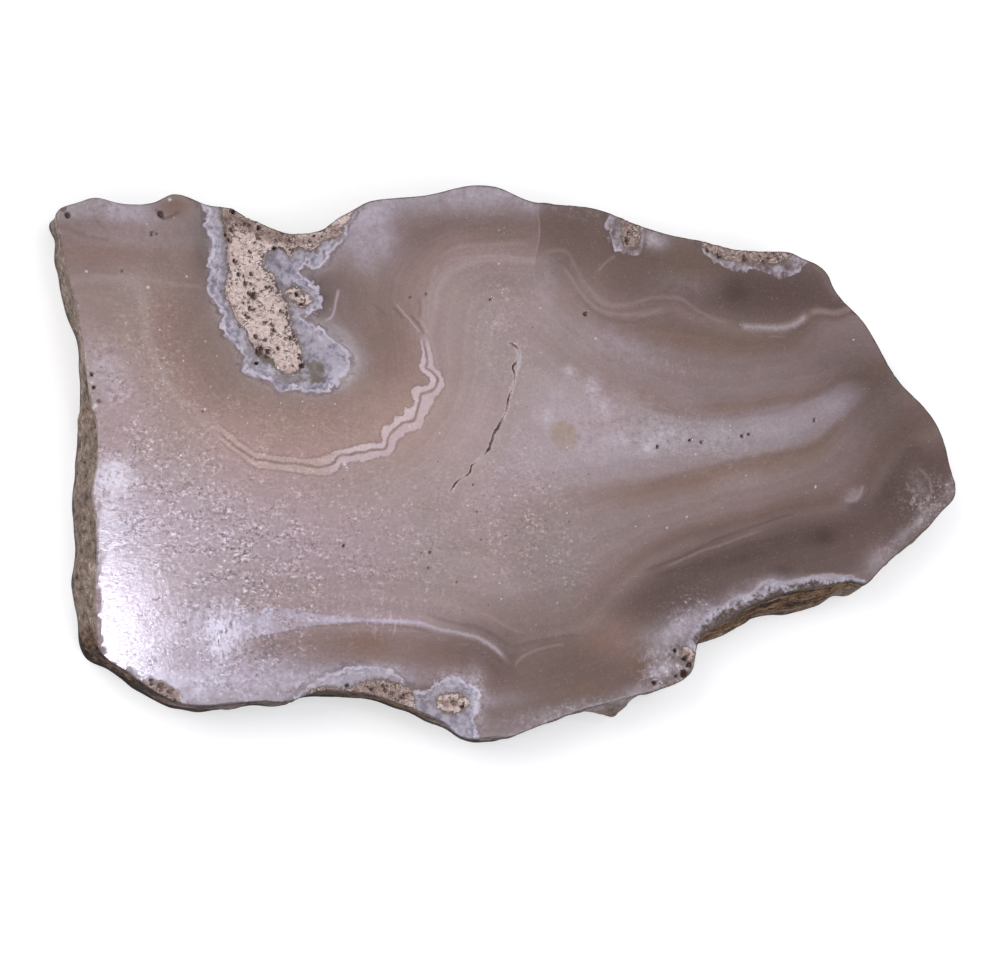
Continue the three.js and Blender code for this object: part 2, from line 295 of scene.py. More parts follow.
# Centre line of the open crack, from its upper end
CRACK = [
    (509, 343), (515, 345.5), (519, 352), (518, 360), (513, 367), (515, 377), (512, 390), (508, 400),
    (507, 410), (501, 422), (494, 434), (491, 444), (487, 452), (478, 461), (472, 466), (469, 474),
    (458, 481), (451, 491),
]

# Fine lines between bands: how much lighter or darker, half the width, and points along it
FINE_LINES = [
    (0.3, 1, [(537, 212), (539, 224), (539, 236), (537, 250), (535, 262), (534, 285)]),
    (0.62, 3, [
        (290, 624), (300, 621), (320, 620), (345, 620), (372, 620), (400, 621), (420, 623), (436, 628),
        (455, 632), (475, 637), (490, 645), (502, 655), (512, 667),
    ]),
    (-0.35, 1.5, [
        (245, 640), (258, 637), (275, 634), (292, 631), (302, 627), (320, 626), (345, 624), (370, 623),
        (400, 626), (420, 629), (440, 635),
    ]),
    (0.3, 1.6, [(515, 668), (519, 660), (530, 653), (548, 647), (565, 644)]),
    (-0.35, 2.2, [
        (420, 612), (450, 622), (480, 628), (500, 639), (512, 646), (540, 640), (560, 637), (585, 634),
    ]),
    (0.22, 1.6, [(400, 598), (440, 603), (480, 612), (510, 628), (530, 634)]),
    (0.22, 2.2, [
        (534, 256), (545, 254), (557, 250), (567, 253), (574, 264), (581, 277), (590, 288), (598, 298),
        (613, 305), (633, 303), (648, 299), (662, 297), (680, 298), (693, 307), (707, 316), (722, 321),
        (738, 324),
    ]),
    (0.22, 2, [
        (560, 262), (570, 276), (580, 292), (592, 305), (606, 312), (625, 315), (645, 314), (658, 310),
        (668, 305),
    ]),
    (-0.22, 2.2, [(575, 290), (588, 306), (605, 318), (630, 322), (660, 317), (680, 312)]),
    (0.28, 1.4, [(597, 272), (606, 262), (616, 255)]),
    (0.22, 1.6, [(441, 272), (436, 280), (431, 290), (429, 305), (427, 320)]),
    (-0.22, 3, [(640, 404), (670, 413), (700, 418), (740, 416), (780, 410), (805, 400), (830, 390)]),
    (-0.2, 3, [
        (640, 490), (670, 478), (700, 469), (740, 460), (790, 452), (815, 446), (832, 430), (845, 412),
    ]),
    (-0.25, 2, [
        (548, 262), (560, 262), (570, 272), (583, 290), (600, 306), (620, 311), (645, 308), (665, 302),
    ]),
    (0.55, 4.2, [(738, 326), (750, 327), (765, 328), (780, 327.5), (793, 325), (802, 319), (808, 312)]),
    (0.35, 3, [(808, 312), (820, 311), (835, 312), (850, 307), (858, 303)]),
    (0.24, 2.4, [(88, 276), (110, 278), (140, 279), (165, 283), (190, 286), (207, 287)]),
    (0.14, 4.5, [(147, 285), (147, 300), (148, 318), (151, 335)]),
    (0.06, 3.5, [(152, 340), (158, 362), (170, 385), (186, 408)]),
    (0.22, 1.8, [(438, 262), (447, 252), (462, 247), (480, 246), (505, 244), (532, 244)]),
    (0.26, 1.8, [(441, 270), (450, 261), (466, 257), (485, 256), (505, 257), (532, 259)]),
    (-0.16, 2, [(440, 250), (455, 243), (475, 240), (500, 238), (532, 237)]),
    (0.34, 2, [(86, 330), (97, 345), (111, 364), (127, 386), (140, 408), (147, 428), (151, 444)]),
    (0.34, 2.2, [(182, 398), (196, 412), (211, 425), (226, 437), (242, 448)]),
    (0.42, 2.4, [(844, 499), (851, 501), (858, 497), (862, 490), (862, 485)]),
    (0.26, 10, [
        (526, 352), (524, 370), (521, 392), (515, 412), (507, 432), (498, 450), (487, 464), (475, 475),
        (464, 487),
    ]),
    (0.34, 1.8, [(425, 345), (423, 325), (424, 308), (428, 292), (434, 276), (438, 262)]),
    (0.8, 2.8, [(516, 348), (519, 355), (519.5, 363), (518, 370), (514, 377)]),
    (0.75, 1.7, [(514, 380), (512.5, 387), (509.5, 394)]),
    (0.6, 1.5, [(506, 411), (503, 416), (500.5, 421)]),
    (0.6, 1.5, [(488, 453), (480, 458), (472, 463)]),
    (0.6, 1.5, [(458, 483), (455, 488), (450, 492)]),
    (0.35, 1.4, [(500, 428), (496, 438), (492, 450)]),
    (0.55, 1.4, [(395, 303), (403, 312), (410, 320), (415, 326), (421, 334)]),
    (0.45, 1.2, [(419, 319), (425, 326), (428, 334)]),
    (0.4, 1.3, [(423, 296), (424, 308), (424, 320)]),
    (-0.4, 1.5, [(392, 307), (398, 312), (404, 319)]),
    (-0.3, 1.6, [(372, 304), (379, 309), (386, 316)]),
    (-0.5, 1.5, [(410, 315), (416, 322), (421, 328), (424, 335)]),
    (-0.3, 1.8, [(419, 298), (420, 309), (419, 316)]),
    (0.34, 1.6, [(329, 324), (340, 329), (348, 335), (353, 339)]),
    (-0.7, 1.6, [(156, 208), (157, 213), (160, 217), (166, 218), (173, 215), (180, 211)]),
    (-0.28, 2.4, [(58, 226), (66, 228), (75, 232), (85, 236), (95, 238), (105, 240), (112, 240)]),
    (-0.2, 1.8, [(91, 203), (94, 213), (98, 222), (105, 231)]),
    (-0.6, 1.8, [
        (640, 573), (655, 567), (668, 562), (680, 557), (700, 548), (720, 538), (745, 530), (780, 518),
        (800, 512),
    ]),
    (-0.6, 2.4, [(650, 578), (662, 574), (690, 566), (715, 556), (740, 548), (770, 540), (795, 534)]),
    (-0.3, 2, [(668, 589), (682, 582), (700, 574), (720, 566), (745, 560)]),
    (0.25, 1.5, [(664, 568), (680, 561), (700, 552), (722, 545), (745, 536), (765, 530)]),
    (-0.45, 6.5, [
        (845, 506), (862, 507), (878, 502), (890, 492), (897, 478), (905, 463), (914, 452), (924, 446),
    ]),
    (0.25, 1.8, [(916, 468), (922, 471), (928, 478), (931, 488), (929, 500), (924, 510)]),
    (0.6, 1.9, [(322, 322), (329, 319), (333, 314), (336, 302), (339, 288)]),
    (0.7, 2.6, [
        (690, 648), (697, 640), (703, 630), (712, 616), (722, 609), (734, 600), (743, 597), (752, 594),
        (761, 584), (770, 581), (783, 583), (800, 580), (815, 576), (830, 575), (845, 577), (860, 575),
    ]),
    (0.35, 2.5, [(702, 622), (712, 614), (722, 608)]),
    (0.35, 2.2, [(912, 528), (920, 519), (927, 511), (935, 506), (944, 502)]),
    (0.12, 4, [(520, 358), (535, 372), (560, 388), (590, 398)]),
]

# Soft clouds: x, y, half length, half width, turn in degrees, strength
CLOUDS = {
    # milky clouds
    "milk": [
        (680, 405, 30, 12, -5, 0.15), (740, 478, 30, 10, 8, 0.1), (500, 420, 60, 30, 0, 0.1),
        (500, 480, 40, 30, 0, 0.1), (140, 280, 40, 16, 0, 0.12), (685, 285, 40, 14, 0, 0.12),
        (230, 520, 110, 30, 0, 0.08), (205, 682, 24, 12, 0, 0.25), (130, 500, 70, 40, 0, 0.18),
        (200, 510, 90, 60, 0, 0.1), (200, 680, 30, 14, 0, 0.3), (470, 203, 70, 12, 4, 0.35),
        (380, 240, 20, 24, 0, 0.35), (530, 460, 50, 30, 0, 0.2), (130, 238, 60, 10, 0, 0.2),
        (620, 400, 36, 16, 0, 0.3), (740, 600, 24, 9, 15, 0.4), (775, 582, 30, 6, 6, 0.4),
        (120, 530, 26, 36, 0, 0.35), (118, 600, 24, 40, 0, 0.4), (215, 634, 18, 24, 0, 0.7),
        (370, 680, 40, 10, 0, 0.4), (180, 688, 60, 18, -8, 0.55), (262, 684, 50, 14, 0, 0.5),
        (330, 680, 40, 12, 0, 0.45), (322, 350, 14, 18, 30, 0.55), (342, 358, 17, 15, 0, 0.85),
        (338, 374, 16, 10, 0, 0.6), (326, 345, 16, 14, 0, 0.5), (312, 330, 10, 12, 30, 0.4),
        (124, 213, 34, 11, -6, 0.6), (75, 211, 18, 9, 10, 0.35), (368, 219, 28, 16, 38, 0.6),
        (362, 250, 17, 22, 0, 0.35), (402, 205, 30, 12, 0, 0.2), (478, 193, 46, 9, 3, 0.45),
        (530, 207, 9, 9, 0, 0.3), (653, 239, 15, 8, -12, 0.7), (690, 624, 30, 13, 20, 0.75),
        (668, 640, 22, 12, 0, 0.45), (262, 623, 26, 10, 8, 0.55), (300, 619, 16, 6, 8, 0.35),
        (275, 675, 32, 20, 0, 0.4), (370, 674, 44, 9, 0, 0.45), (222, 634, 24, 26, 10, 0.4),
        (920, 490, 8, 20, 20, 0.15), (950, 490, 6, 10, 0, 0.3), (655, 655, 14, 10, 0, 0.3),
        (878, 560, 16, 10, 35, 0.3), (925, 515, 16, 6, 40, 0.3), (250, 690, 60, 12, 0, 0.35),
        (350, 678, 50, 10, 0, 0.3), (205, 695, 40, 10, 0, 0.35), (562, 400, 30, 22, 10, 0.35),
        (590, 450, 46, 22, 0, 0.25), (700, 438, 60, 20, 0, 0.22), (770, 428, 50, 18, 6, 0.25),
        (835, 405, 26, 14, 25, 0.22), (835, 400, 34, 12, 15, 0.1), (852, 495, 11, 6, 25, 0.3),
        (165, 640, 40, 30, -20, 0.35), (240, 670, 50, 20, 0, 0.3), (560, 575, 28, 38, -12, 0.15),
        (505, 585, 22, 14, 0, 0.15), (545, 285, 14, 26, 0, 0.2), (620, 345, 50, 14, -18, 0.25),
        (108, 372, 20, 26, 25, 0.42), (130, 410, 30, 36, 15, 0.12), (497, 700, 30, 8, 8, 0.25),
        (560, 712, 60, 6, 12, 0.25), (640, 690, 20, 6, 18, 0.3), (905, 535, 20, 5, 38, 0.35),
    ],
    # smoky clouds
    "smoke": [
        (865, 480, 20, 20, 0, 0.1), (918, 522, 20, 30, 0, 0.15), (560, 600, 50, 20, 0, 0.08),
        (440, 560, 50, 24, 0, 0.06), (500, 620, 60, 30, 0, 0.08), (560, 690, 60, 20, 12, 0.1),
        (200, 600, 20, 20, 0, 0.12), (690, 450, 30, 20, 0, 0.08), (862, 393, 42, 30, -20, 0.5),
        (750, 548, 75, 14, 14, 0.28), (500, 640, 70, 40, 0, 0.1), (440, 675, 30, 16, 0, 0.15),
        (740, 440, 90, 30, 8, 0.13), (915, 520, 30, 40, 0, 0.16), (540, 205, 60, 16, 0, 0.12),
        (800, 322, 30, 16, 0, 0.12), (780, 415, 130, 50, -5, 0.12), (915, 515, 30, 40, 0, 0.18),
        (560, 640, 60, 25, 0, 0.1), (500, 660, 80, 30, 0, 0.06), (290, 410, 60, 24, 0, 0.08),
        (790, 340, 60, 40, 0, 0.12), (500, 280, 40, 20, 0, 0.1), (830, 358, 50, 34, 0, 0.28),
        (805, 505, 50, 30, 10, 0.2), (322, 279, 14, 12, 0, 0.5), (490, 275, 50, 14, 0, 0.15),
        (872, 400, 24, 30, -20, 0.2), (685, 440, 20, 10, 0, 0.12), (775, 300, 50, 20, 0, 0.25),
        (866, 385, 34, 34, -30, 0.5), (885, 478, 44, 44, 0, 0.3), (930, 470, 24, 40, 0, 0.25),
        (800, 590, 60, 10, 15, 0.3), (530, 545, 44, 34, 0, 0.14), (500, 660, 30, 34, 0, 0.22),
        (850, 520, 30, 12, 20, 0.3), (718, 535, 30, 10, 18, 0.25), (785, 573, 9, 6, 0, 0.4),
        (500, 700, 60, 20, 0, 0.2), (272, 646, 18, 9, 0, 0.35), (800, 530, 40, 16, 8, 0.4),
        (745, 560, 34, 14, 10, 0.2), (905, 420, 30, 40, 0, 0.25), (800, 285, 30, 20, 0, 0.25),
        (735, 290, 18, 12, 0, 0.4), (545, 640, 70, 30, 0, 0.15), (480, 655, 60, 20, 0, 0.2),
        (560, 575, 30, 30, 0, 0.15), (880, 370, 50, 50, -40, 0.35), (830, 440, 60, 70, 0, 0.22),
        (900, 440, 30, 50, 0, 0.3), (535, 640, 80, 50, 0, 0.28), (560, 590, 40, 30, 0, 0.22),
        (150, 460, 60, 90, 0, 0.1), (100, 274, 60, 24, 0, 0.3), (110, 310, 70, 30, 0, 0.16),
        (620, 245, 20, 30, 0, 0.2), (325, 298, 12, 20, 0, 0.5), (760, 290, 60, 14, 0, 0.2),
        (738, 292, 26, 16, 0, 0.75), (778, 288, 44, 18, 0, 0.55), (700, 296, 30, 14, 0, 0.2),
        (820, 285, 14, 12, 0, 0.3), (200, 245, 9, 46, 0, 0.55), (312, 306, 12, 10, 0, 0.3),
        (325, 300, 16, 24, 0, 0.35), (470, 640, 36, 18, 0, 0.3), (490, 660, 30, 17, -32, 0.6),
        (440, 648, 44, 12, -8, 0.35), (350, 640, 40, 10, 0, 0.25), (655, 592, 34, 14, 18, 0.45),
        (620, 605, 26, 14, 10, 0.25), (893, 488, 11, 26, -28, 0.6), (908, 455, 20, 14, 20, 0.5),
        (822, 534, 26, 11, 12, 0.5), (780, 545, 30, 10, 18, 0.35), (545, 645, 44, 9, 5, 0.3),
        (560, 665, 40, 12, 10, 0.2), (790, 565, 24, 7, 12, 0.2), (480, 225, 60, 14, 0, 0.35),
        (420, 240, 30, 16, 25, 0.3), (885, 380, 26, 14, -40, 0.25), (865, 440, 14, 30, -30, 0.1),
        (350, 290, 14, 28, 0, 0.3), (390, 340, 26, 34, 0, 0.1), (172, 207, 16, 8, 20, 0.25),
        (172, 206, 16, 8, 20, 0.35),
    ],
    # the dark field inside its outline
    "shadow": [
        (574, 226, 64, 44, 0, 1), (560, 262, 20, 20, 0, 0.4),
    ],
    # warm brown clouds
    "warm": [
        (172, 207, 17, 9, 20, 0.55), (180, 207, 22, 11, 0, 0.5), (372, 645, 30, 14, 0, 0.5),
        (690, 270, 50, 24, 0, 0.3), (640, 395, 60, 9, -12, 0.2), (730, 412, 50, 7, 2, 0.3),
        (760, 462, 60, 9, 8, 0.35), (680, 485, 40, 8, 10, 0.3), (820, 440, 14, 26, -30, 0.3),
        (120, 250, 60, 20, 0, 0.15), (150, 330, 40, 40, 0, 0.12), (365, 642, 36, 13, 0, 0.55),
        (300, 640, 30, 12, 0, 0.3), (440, 652, 30, 10, -8, 0.3), (600, 640, 16, 11, 0, 0.5),
        (637, 665, 12, 12, 40, 0.55), (655, 660, 8, 6, 0, 0.4), (700, 343, 50, 9, -10, 0.4),
        (745, 340, 30, 7, 0, 0.25), (380, 340, 34, 44, 0, 0.25), (300, 420, 50, 20, 0, 0.2),
        (345, 270, 24, 22, 0, 0.3), (100, 250, 44, 16, 0, 0.12), (640, 402, 40, 9, -10, 0.3),
        (740, 470, 60, 8, 10, 0.3), (640, 498, 50, 8, 5, 0.25), (430, 508, 14, 6, 0, 0.3),
        (470, 548, 36, 9, 0, 0.25), (100, 310, 24, 24, 0, 0.2), (580, 690, 46, 9, 12, 0.35),
        (530, 510, 20, 20, 0, 0.15), (810, 262, 12, 6, -25, 0.3), (172, 206, 16, 8, 20, 0.4),
    ],
    # pale rosy clouds
    "rosy": [
        (320, 436, 90, 34, 0, 0.65), (385, 408, 40, 34, 0, 0.45), (250, 438, 60, 40, 0, 0.45),
        (200, 500, 110, 50, 0, 0.35), (300, 520, 120, 50, 0, 0.3), (140, 500, 40, 40, 0, 0.4),
        (530, 460, 50, 30, 0, 0.2), (130, 420, 60, 50, 0, 0.2), (881, 558, 16, 18, 30, 0.2),
        (500, 420, 90, 40, 0, 0.15), (620, 640, 30, 20, 0, 0.3), (260, 682, 40, 16, 0, 0.35),
        (80, 520, 40, 60, 0, 0.2),
    ],
    # dark brown clouds
    "deep": [
        (734, 290, 15, 11, 0, 0.75), (824, 537, 14, 8, 10, 0.6), (785, 574, 10, 7, 0, 0.5),
        (742, 558, 22, 5, 16, 0.4), (700, 566, 22, 4, 18, 0.3), (862, 498, 16, 5, 35, 0.35),
        (886, 488, 8, 14, -28, 0.4), (640, 662, 8, 10, 0, 0.4), (270, 652, 10, 5, 0, 0.3),
        (318, 300, 10, 12, 0, 0.4), (205, 245, 5, 30, 0, 0.3),
    ],
    # chalk-white clouds, and painted highlights of the glare and its haze near the lower left
    "chalky": [
        (112, 479, 18, 17, 0, 1.35), (108, 530, 15, 34, 0, 0.5), (104, 560, 8, 40, 0, 0.4),
        (222, 633, 20, 24, 0, 0.25), (130, 590, 40, 40, 0, 0.06), (476, 700, 9, 26, 0, 0.55),
        (455, 678, 22, 7, 0, 0.4), (440, 733, 18, 7, 10, 0.45), (380, 668, 24, 5, 0, 0.35),
        (330, 684, 26, 5, 0, 0.2), (592, 388, 9, 14, 0, 0.3), (570, 372, 8, 6, 0, 0.3),
        (664, 436, 20, 12, 0, 0.22), (648, 448, 10, 8, 0, 0.3), (602, 410, 10, 8, 0, 0.25),
        (620, 440, 14, 10, 0, 0.2), (545, 418, 12, 8, 0, 0.15), (740, 600, 10, 7, 0, 0.25),
        (716, 612, 10, 5, -30, 0.2), (338, 374, 10, 10, 0, 0.2), (300, 376, 24, 5, 10, 0.3),
        (276, 372, 8, 5, 0, 0.3), (213, 236, 5, 24, 0, 0.15), (322, 266, 12, 6, 30, 0.15),
        (668, 668, 14, 8, 10, 0.45), (655, 674, 8, 6, 0, 0.4), (145, 640, 26, 22, 0, 0.25),
        (152, 670, 30, 12, -30, 0.3), (205, 680, 24, 12, 0, 0.2),
    ],
    # where the stone is a little bluer
    "cool": [
        (200, 520, 150, 90, 0, 0.8), (330, 560, 120, 60, 0, 0.6), (150, 620, 100, 80, 0, 1),
        (330, 650, 120, 50, 0, 0.6), (380, 240, 40, 40, 0, 0.3), (500, 190, 60, 14, 0, 0.1),
    ],
    # where it is a little browner
    "tan_tint": [
        (385, 400, 40, 40, 0, 0.6), (320, 425, 90, 40, 0, 0.5), (240, 400, 150, 110, 0, 0.9),
        (420, 420, 60, 50, 0, 0.5), (610, 410, 60, 30, 0, 0.4), (630, 645, 40, 30, 0, 0.6),
        (180, 300, 90, 60, 0, 0.5), (560, 620, 80, 60, 0, 0.5), (720, 470, 90, 50, 0, 0.4),
        (640, 260, 80, 40, 0, 0.4), (920, 470, 40, 60, 0, 0.4),
    ],
    # where the sawn face is gritty
    "grit": [
        (165, 625, 50, 45, 0, 0.5), (140, 520, 90, 120, 0, 1), (240, 560, 120, 90, 0, 0.9),
        (400, 540, 110, 70, 0, 0.55), (500, 320, 40, 120, 10, 0.45), (560, 560, 60, 60, 0, 0.4),
        (690, 440, 110, 40, 0, 0.4), (300, 420, 90, 40, 0, 0.35), (150, 340, 50, 90, 0, 0.4),
        (230, 650, 80, 50, 0, 0.8), (520, 500, 60, 60, 0, 0.45), (690, 610, 30, 25, 0, 0.7),
        (925, 500, 25, 30, 0, 0.6),
    ],
    # where the saw left pale scratches; at the left, a painted highlight of the glare on a chip
    "scratched": [
        (222, 633, 24, 27, 0, 1), (386, 616, 20, 22, 0, 0.35), (342, 612, 10, 14, 0, 0.4),
        (650, 362, 50, 14, -8, 0.1), (690, 370, 30, 10, 0, 0.06), (440, 590, 20, 20, 0, 0.15),
        (114, 478, 22, 24, 0, 0.35),
    ],
    # where small pale crystals are
    "sugar": [
        (108, 366, 18, 30, 25, 0.9), (125, 392, 20, 14, 30, 0.5), (90, 400, 8, 40, 0, 0.7),
        (672, 664, 26, 24, 0, 1), (655, 680, 14, 14, 0, 0.8), (925, 510, 20, 28, 35, 0.7),
        (948, 492, 12, 16, 0, 0.7), (890, 552, 22, 14, 40, 0.4), (640, 430, 46, 20, 0, 0.45),
        (700, 442, 60, 12, -4, 0.45), (590, 425, 30, 40, 0, 0.35), (560, 712, 70, 8, 12, 0.6),
        (222, 632, 22, 26, 0, 0.9), (190, 690, 50, 12, 0, 0.4), (280, 690, 40, 12, 0, 0.4),
        (700, 618, 16, 16, 0, 0.4), (110, 205, 12, 6, 0, 0.5), (380, 205, 30, 10, 25, 0.4),
        (100, 205, 20, 10, 0, 0.3), (490, 190, 40, 6, 0, 0.4), (100, 204, 40, 6, -4, 0.5),
        (525, 200, 12, 7, -20, 0.7), (440, 196, 40, 4, 6, 0.3), (575, 212, 30, 5, -8, 0.4),
        (935, 520, 20, 8, 50, 0.35), (560, 722, 40, 6, 12, 0.45), (620, 702, 30, 6, 20, 0.35),
        (662, 668, 16, 12, 10, 0.5),
    ],
    # where the pockets and their halos are browner
    "dull": [
        (236, 214, 28, 13, -20, 0.95), (227, 232, 8, 22, 0, 0.7), (268, 230, 26, 9, -20, 0.9),
        (300, 239, 34, 6, 0, 0.45), (335, 234, 16, 10, 25, 0.7), (380, 690, 46, 22, 0, 0.75),
        (340, 694, 34, 14, 0, 0.6), (451, 703, 16, 10, 0, 0.35), (160, 694, 30, 16, -20, 0.8),
        (682, 656, 12, 12, 0, 0.6), (258, 352, 14, 10, 20, 0.55), (288, 300, 6, 14, 60, 0.5),
        (630, 235, 50, 70, 0, 1.6), (750, 255, 120, 60, 0, 1.6), (250, 355, 18, 10, 0, 0.35),
    ],
    # where the crack gapes
    "crack_open": [
        (514, 345, 6, 4, 0, 1.2), (513.5, 367, 4, 8, 0, 1.2), (507.5, 399, 4, 9, 0, 0.9),
        (498, 428, 7, 10, 0, 1.4), (491, 444, 6, 13, 0, 1.3), (470, 470, 5, 10, 0, 1.2),
        (455, 483, 6, 8, 0, 1.3),
    ],
    # where the wall shows the stone itself, with hardly any rind
    "thin_rind": [
        (240, 708, 60, 14, 0, 0.3), (300, 700, 20, 12, 0, 0.3), (560, 718, 60, 16, 15, 1),
        (640, 696, 40, 14, 15, 0.9), (690, 670, 12, 24, 0, 0.9), (600, 712, 14, 12, 0, 1),
        (480, 738, 40, 10, 0, 0.9), (340, 696, 30, 8, 0, 0.2),
    ],
    # where the wall shows level layers
    "layered": [
        (790, 600, 90, 26, 18, 1), (720, 640, 40, 20, 30, 0.9), (560, 725, 90, 20, 15, 0.5),
        (400, 710, 120, 20, -15, 0.3),
    ],
    # where the rind is darker, and where the painted shade at its foot reaches higher
    "dirty": [
        (110, 670, 46, 22, -35, 1.6), (152, 698, 50, 18, -20, 1.6), (240, 708, 60, 14, 0, 1),
        (330, 700, 60, 12, 0, 0.7), (430, 722, 44, 14, -25, 0.9), (84, 392, 14, 26, 0, 0.8),
        (62, 300, 14, 50, 0, 0.3), (800, 600, 90, 26, 18, 0.45), (560, 725, 90, 20, 15, 0.5),
        (95, 655, 14, 14, 0, 0.8),
    ],
}

# Round specks: x, y, radius
SPECKS = {
    # white glints
    "glint": [
        (216, 216, 2.2), (222, 268.5, 1.8), (224.5, 271, 1.8), (293.5, 281, 2.2), (306, 316, 2.2),
        (347, 219, 2.2), (169.5, 199.5, 3.2), (64, 292, 2.2), (86, 271, 2.4), (148, 287.5, 3.2),
        (126, 323, 2), (160, 330, 2), (217, 356, 1.8), (88, 367, 2.4), (92, 375, 2.8), (92, 383, 2.2),
        (95, 406, 4), (92, 427, 2), (124.5, 429, 2.4), (205, 409, 2.2), (155, 466, 2.2), (161, 471, 2),
        (187, 277, 2), (346.7, 470, 1.2), (377.5, 480.8, 1.4), (337.5, 496, 1.5), (347, 491, 1.2),
        (437.5, 510.5, 1.5), (393, 543.5, 1.8), (416, 573, 2), (371, 570, 1.6), (378, 575, 1.5),
        (500, 582.5, 1.6), (501, 599, 1.7), (475, 577, 2.2), (524, 572, 1.7), (571.7, 541, 1.8),
        (529, 511, 1.3), (550, 486, 1.9), (557.5, 603, 1.4), (453, 489, 2), (344.8, 464.6, 3.4),
        (347, 468, 2.2), (409.5, 426.7, 1.9), (440, 432.5, 1.7), (281, 440, 1.5), (313, 426, 1.6),
        (267.5, 448.7, 1.3), (247.5, 423.7, 1.6), (227.5, 438, 1.5), (241.7, 417, 1.3), (256, 417, 1.2),
        (228, 398, 1.4), (257.5, 458, 1.3), (208, 459.7, 1.7), (202.5, 469.5, 1.7), (532, 292.7, 1.7),
        (501.8, 292.7, 1.8), (595.6, 338, 2.6), (519, 306.7, 1.2), (540, 307.8, 1.5), (854, 340, 1.8),
        (815.6, 487, 2.4), (666.7, 528, 2.2), (687, 517.8, 2), (635.6, 526.7, 1.4), (649, 515.6, 1.5),
        (722, 508, 1.4), (645.6, 543, 1.4), (652, 676, 2.2), (660, 681, 2), (666, 671, 1.8),
        (649, 684, 1.6), (740, 325, 1.2),
    ],
    # dark specks
    "dark": [
        (63, 208, 4.5), (67, 217, 3), (159, 214, 3), (163, 218, 2.4), (151, 235, 2), (156, 234, 2),
        (410, 297, 2), (426, 294, 2), (122, 271, 2), (202, 411, 1.8), (268, 378, 2.4), (84, 387, 3.4),
        (99, 401, 3), (431, 552, 1.9), (421, 553, 1.2), (428, 567.5, 2), (345, 546, 1.5), (481, 539.5, 1.4),
        (506, 536, 1.3), (476.7, 512, 1.7), (473, 485, 1.6), (457, 582.5, 1.6), (585.6, 315, 2.2),
        (513, 345.6, 1.8),
    ],
    # pits in the large pocket
    "pit": [
        (256, 295, 4.8), (250, 293, 2.6), (237, 261, 2.8), (252, 251, 2.2), (253, 273, 2.4),
        (240, 274, 2.6), (246, 276, 2), (247, 283, 2.6), (233, 283, 1.8), (253, 284, 2), (255, 289, 1.8),
        (268, 287, 2.2), (272, 286.5, 1.6), (259, 227, 2.4), (252, 308, 3), (257, 310, 2), (283, 311, 2.2),
        (276, 330, 2.8), (274, 324, 2), (257, 336, 2.6), (264, 348, 3), (259, 352, 4), (270, 352, 3.6),
        (266, 357, 3), (280, 348, 2.6), (257, 363, 2.2), (302, 366, 2.8), (303, 373, 2.6), (304, 380, 2.4),
        (301, 358, 2), (293, 338, 3), (297, 336, 2.4), (287, 339, 1.8), (275, 248, 2.4), (298, 294, 2.6),
        (304, 304.5, 1.8), (300, 304.5, 1.6), (226, 234, 2.4), (230, 239, 2), (229, 248, 2), (228, 264, 2),
        (230, 271, 2), (222, 292, 2), (234, 211, 2.6), (238, 224, 2), (233, 230, 2.6), (245, 303, 2),
        (248, 315, 2), (251, 318, 1.8), (262, 306, 1.6), (268, 323, 1.8), (288, 327, 2.2), (262, 239, 2),
        (257, 243, 1.8), (292, 250, 2), (311, 252, 2), (291, 259, 2), (315, 236, 1.8), (323, 236, 1.8),
        (246, 224, 2), (276, 370, 2.4), (282, 373, 1.8), (240, 327, 1.6), (254, 344, 2), (268, 340, 2),
    ],
}
# The mesh, in millimetres

WALL_ROWS = 6                   # rows of faces up the wall of the solid
ROW_SLACK = 0.002               # how far off its row a vertex of the wall may lie, in rows
TOUCHING = 0.001                # vertices this near are one
SMOOTH_ANGLE = 38.0             # edges flatter than this are shaded smooth, in degrees
RIM_CLEARANCE = 0.35            # between the grid of a face and its rim, in cells
NEAR_PORE = 0.5                 # this near to these things the upper face has a finer mesh
NEAR_POCKET = 0.2
NEAR_SEAM = 0.9
NEAR_HALO = 0.5
NEAR_CRACK = 0.45

# The shape of the stone, in millimetres

DEPTH_LEAN = (2.2, -1.4)        # how far the pattern shifts from the upper face to the back
LEFT_SIDE = (-22.0, 8.0)        # across this span of -x the stone turns from dark to pale, partly its own tone and partly painted sheen
VISIBLE_DEPTH = 0.6             # the deepest a pore is modelled here
DEEPEST_HOLLOW = 1.5
CRACK_WIDTH = 0.6
PIT_DEPTH = 0.35
ROUGH_CORNER = (19.8, -24.8)    # a broken place on the lower edge, and its radius
ROUGH_CORNER_SIZE = 4.0
CHIP_WIDTH = 0.4                # of the small chips along the rim
CHIP_DEPTH = 0.16
LUMP_HEIGHT = 0.16              # of the lumps of the rind, before the setting for them
DENT_DEPTH = 0.34

# The pattern, in levels of growth and in millimetres

CORE_LEVEL = 4.0
KNOT_SPACING = 3.4              # between the knots of the growth field
PLATE_SIZE = 12.0
PLATE_SLACK = 0.002
LINE_REACH = 1.3                # how far from its middle a fine line is known
SEAM_BRIGHTENS = (-25.5, -21.5)  # from tan to white along x
SEAM_STARTS = (-38.6, -36.4)    # and where it fades in
RIM_SHADE_SPAN = (-52.0, -46.0)     # across this span of x the painted shade along the rim begins
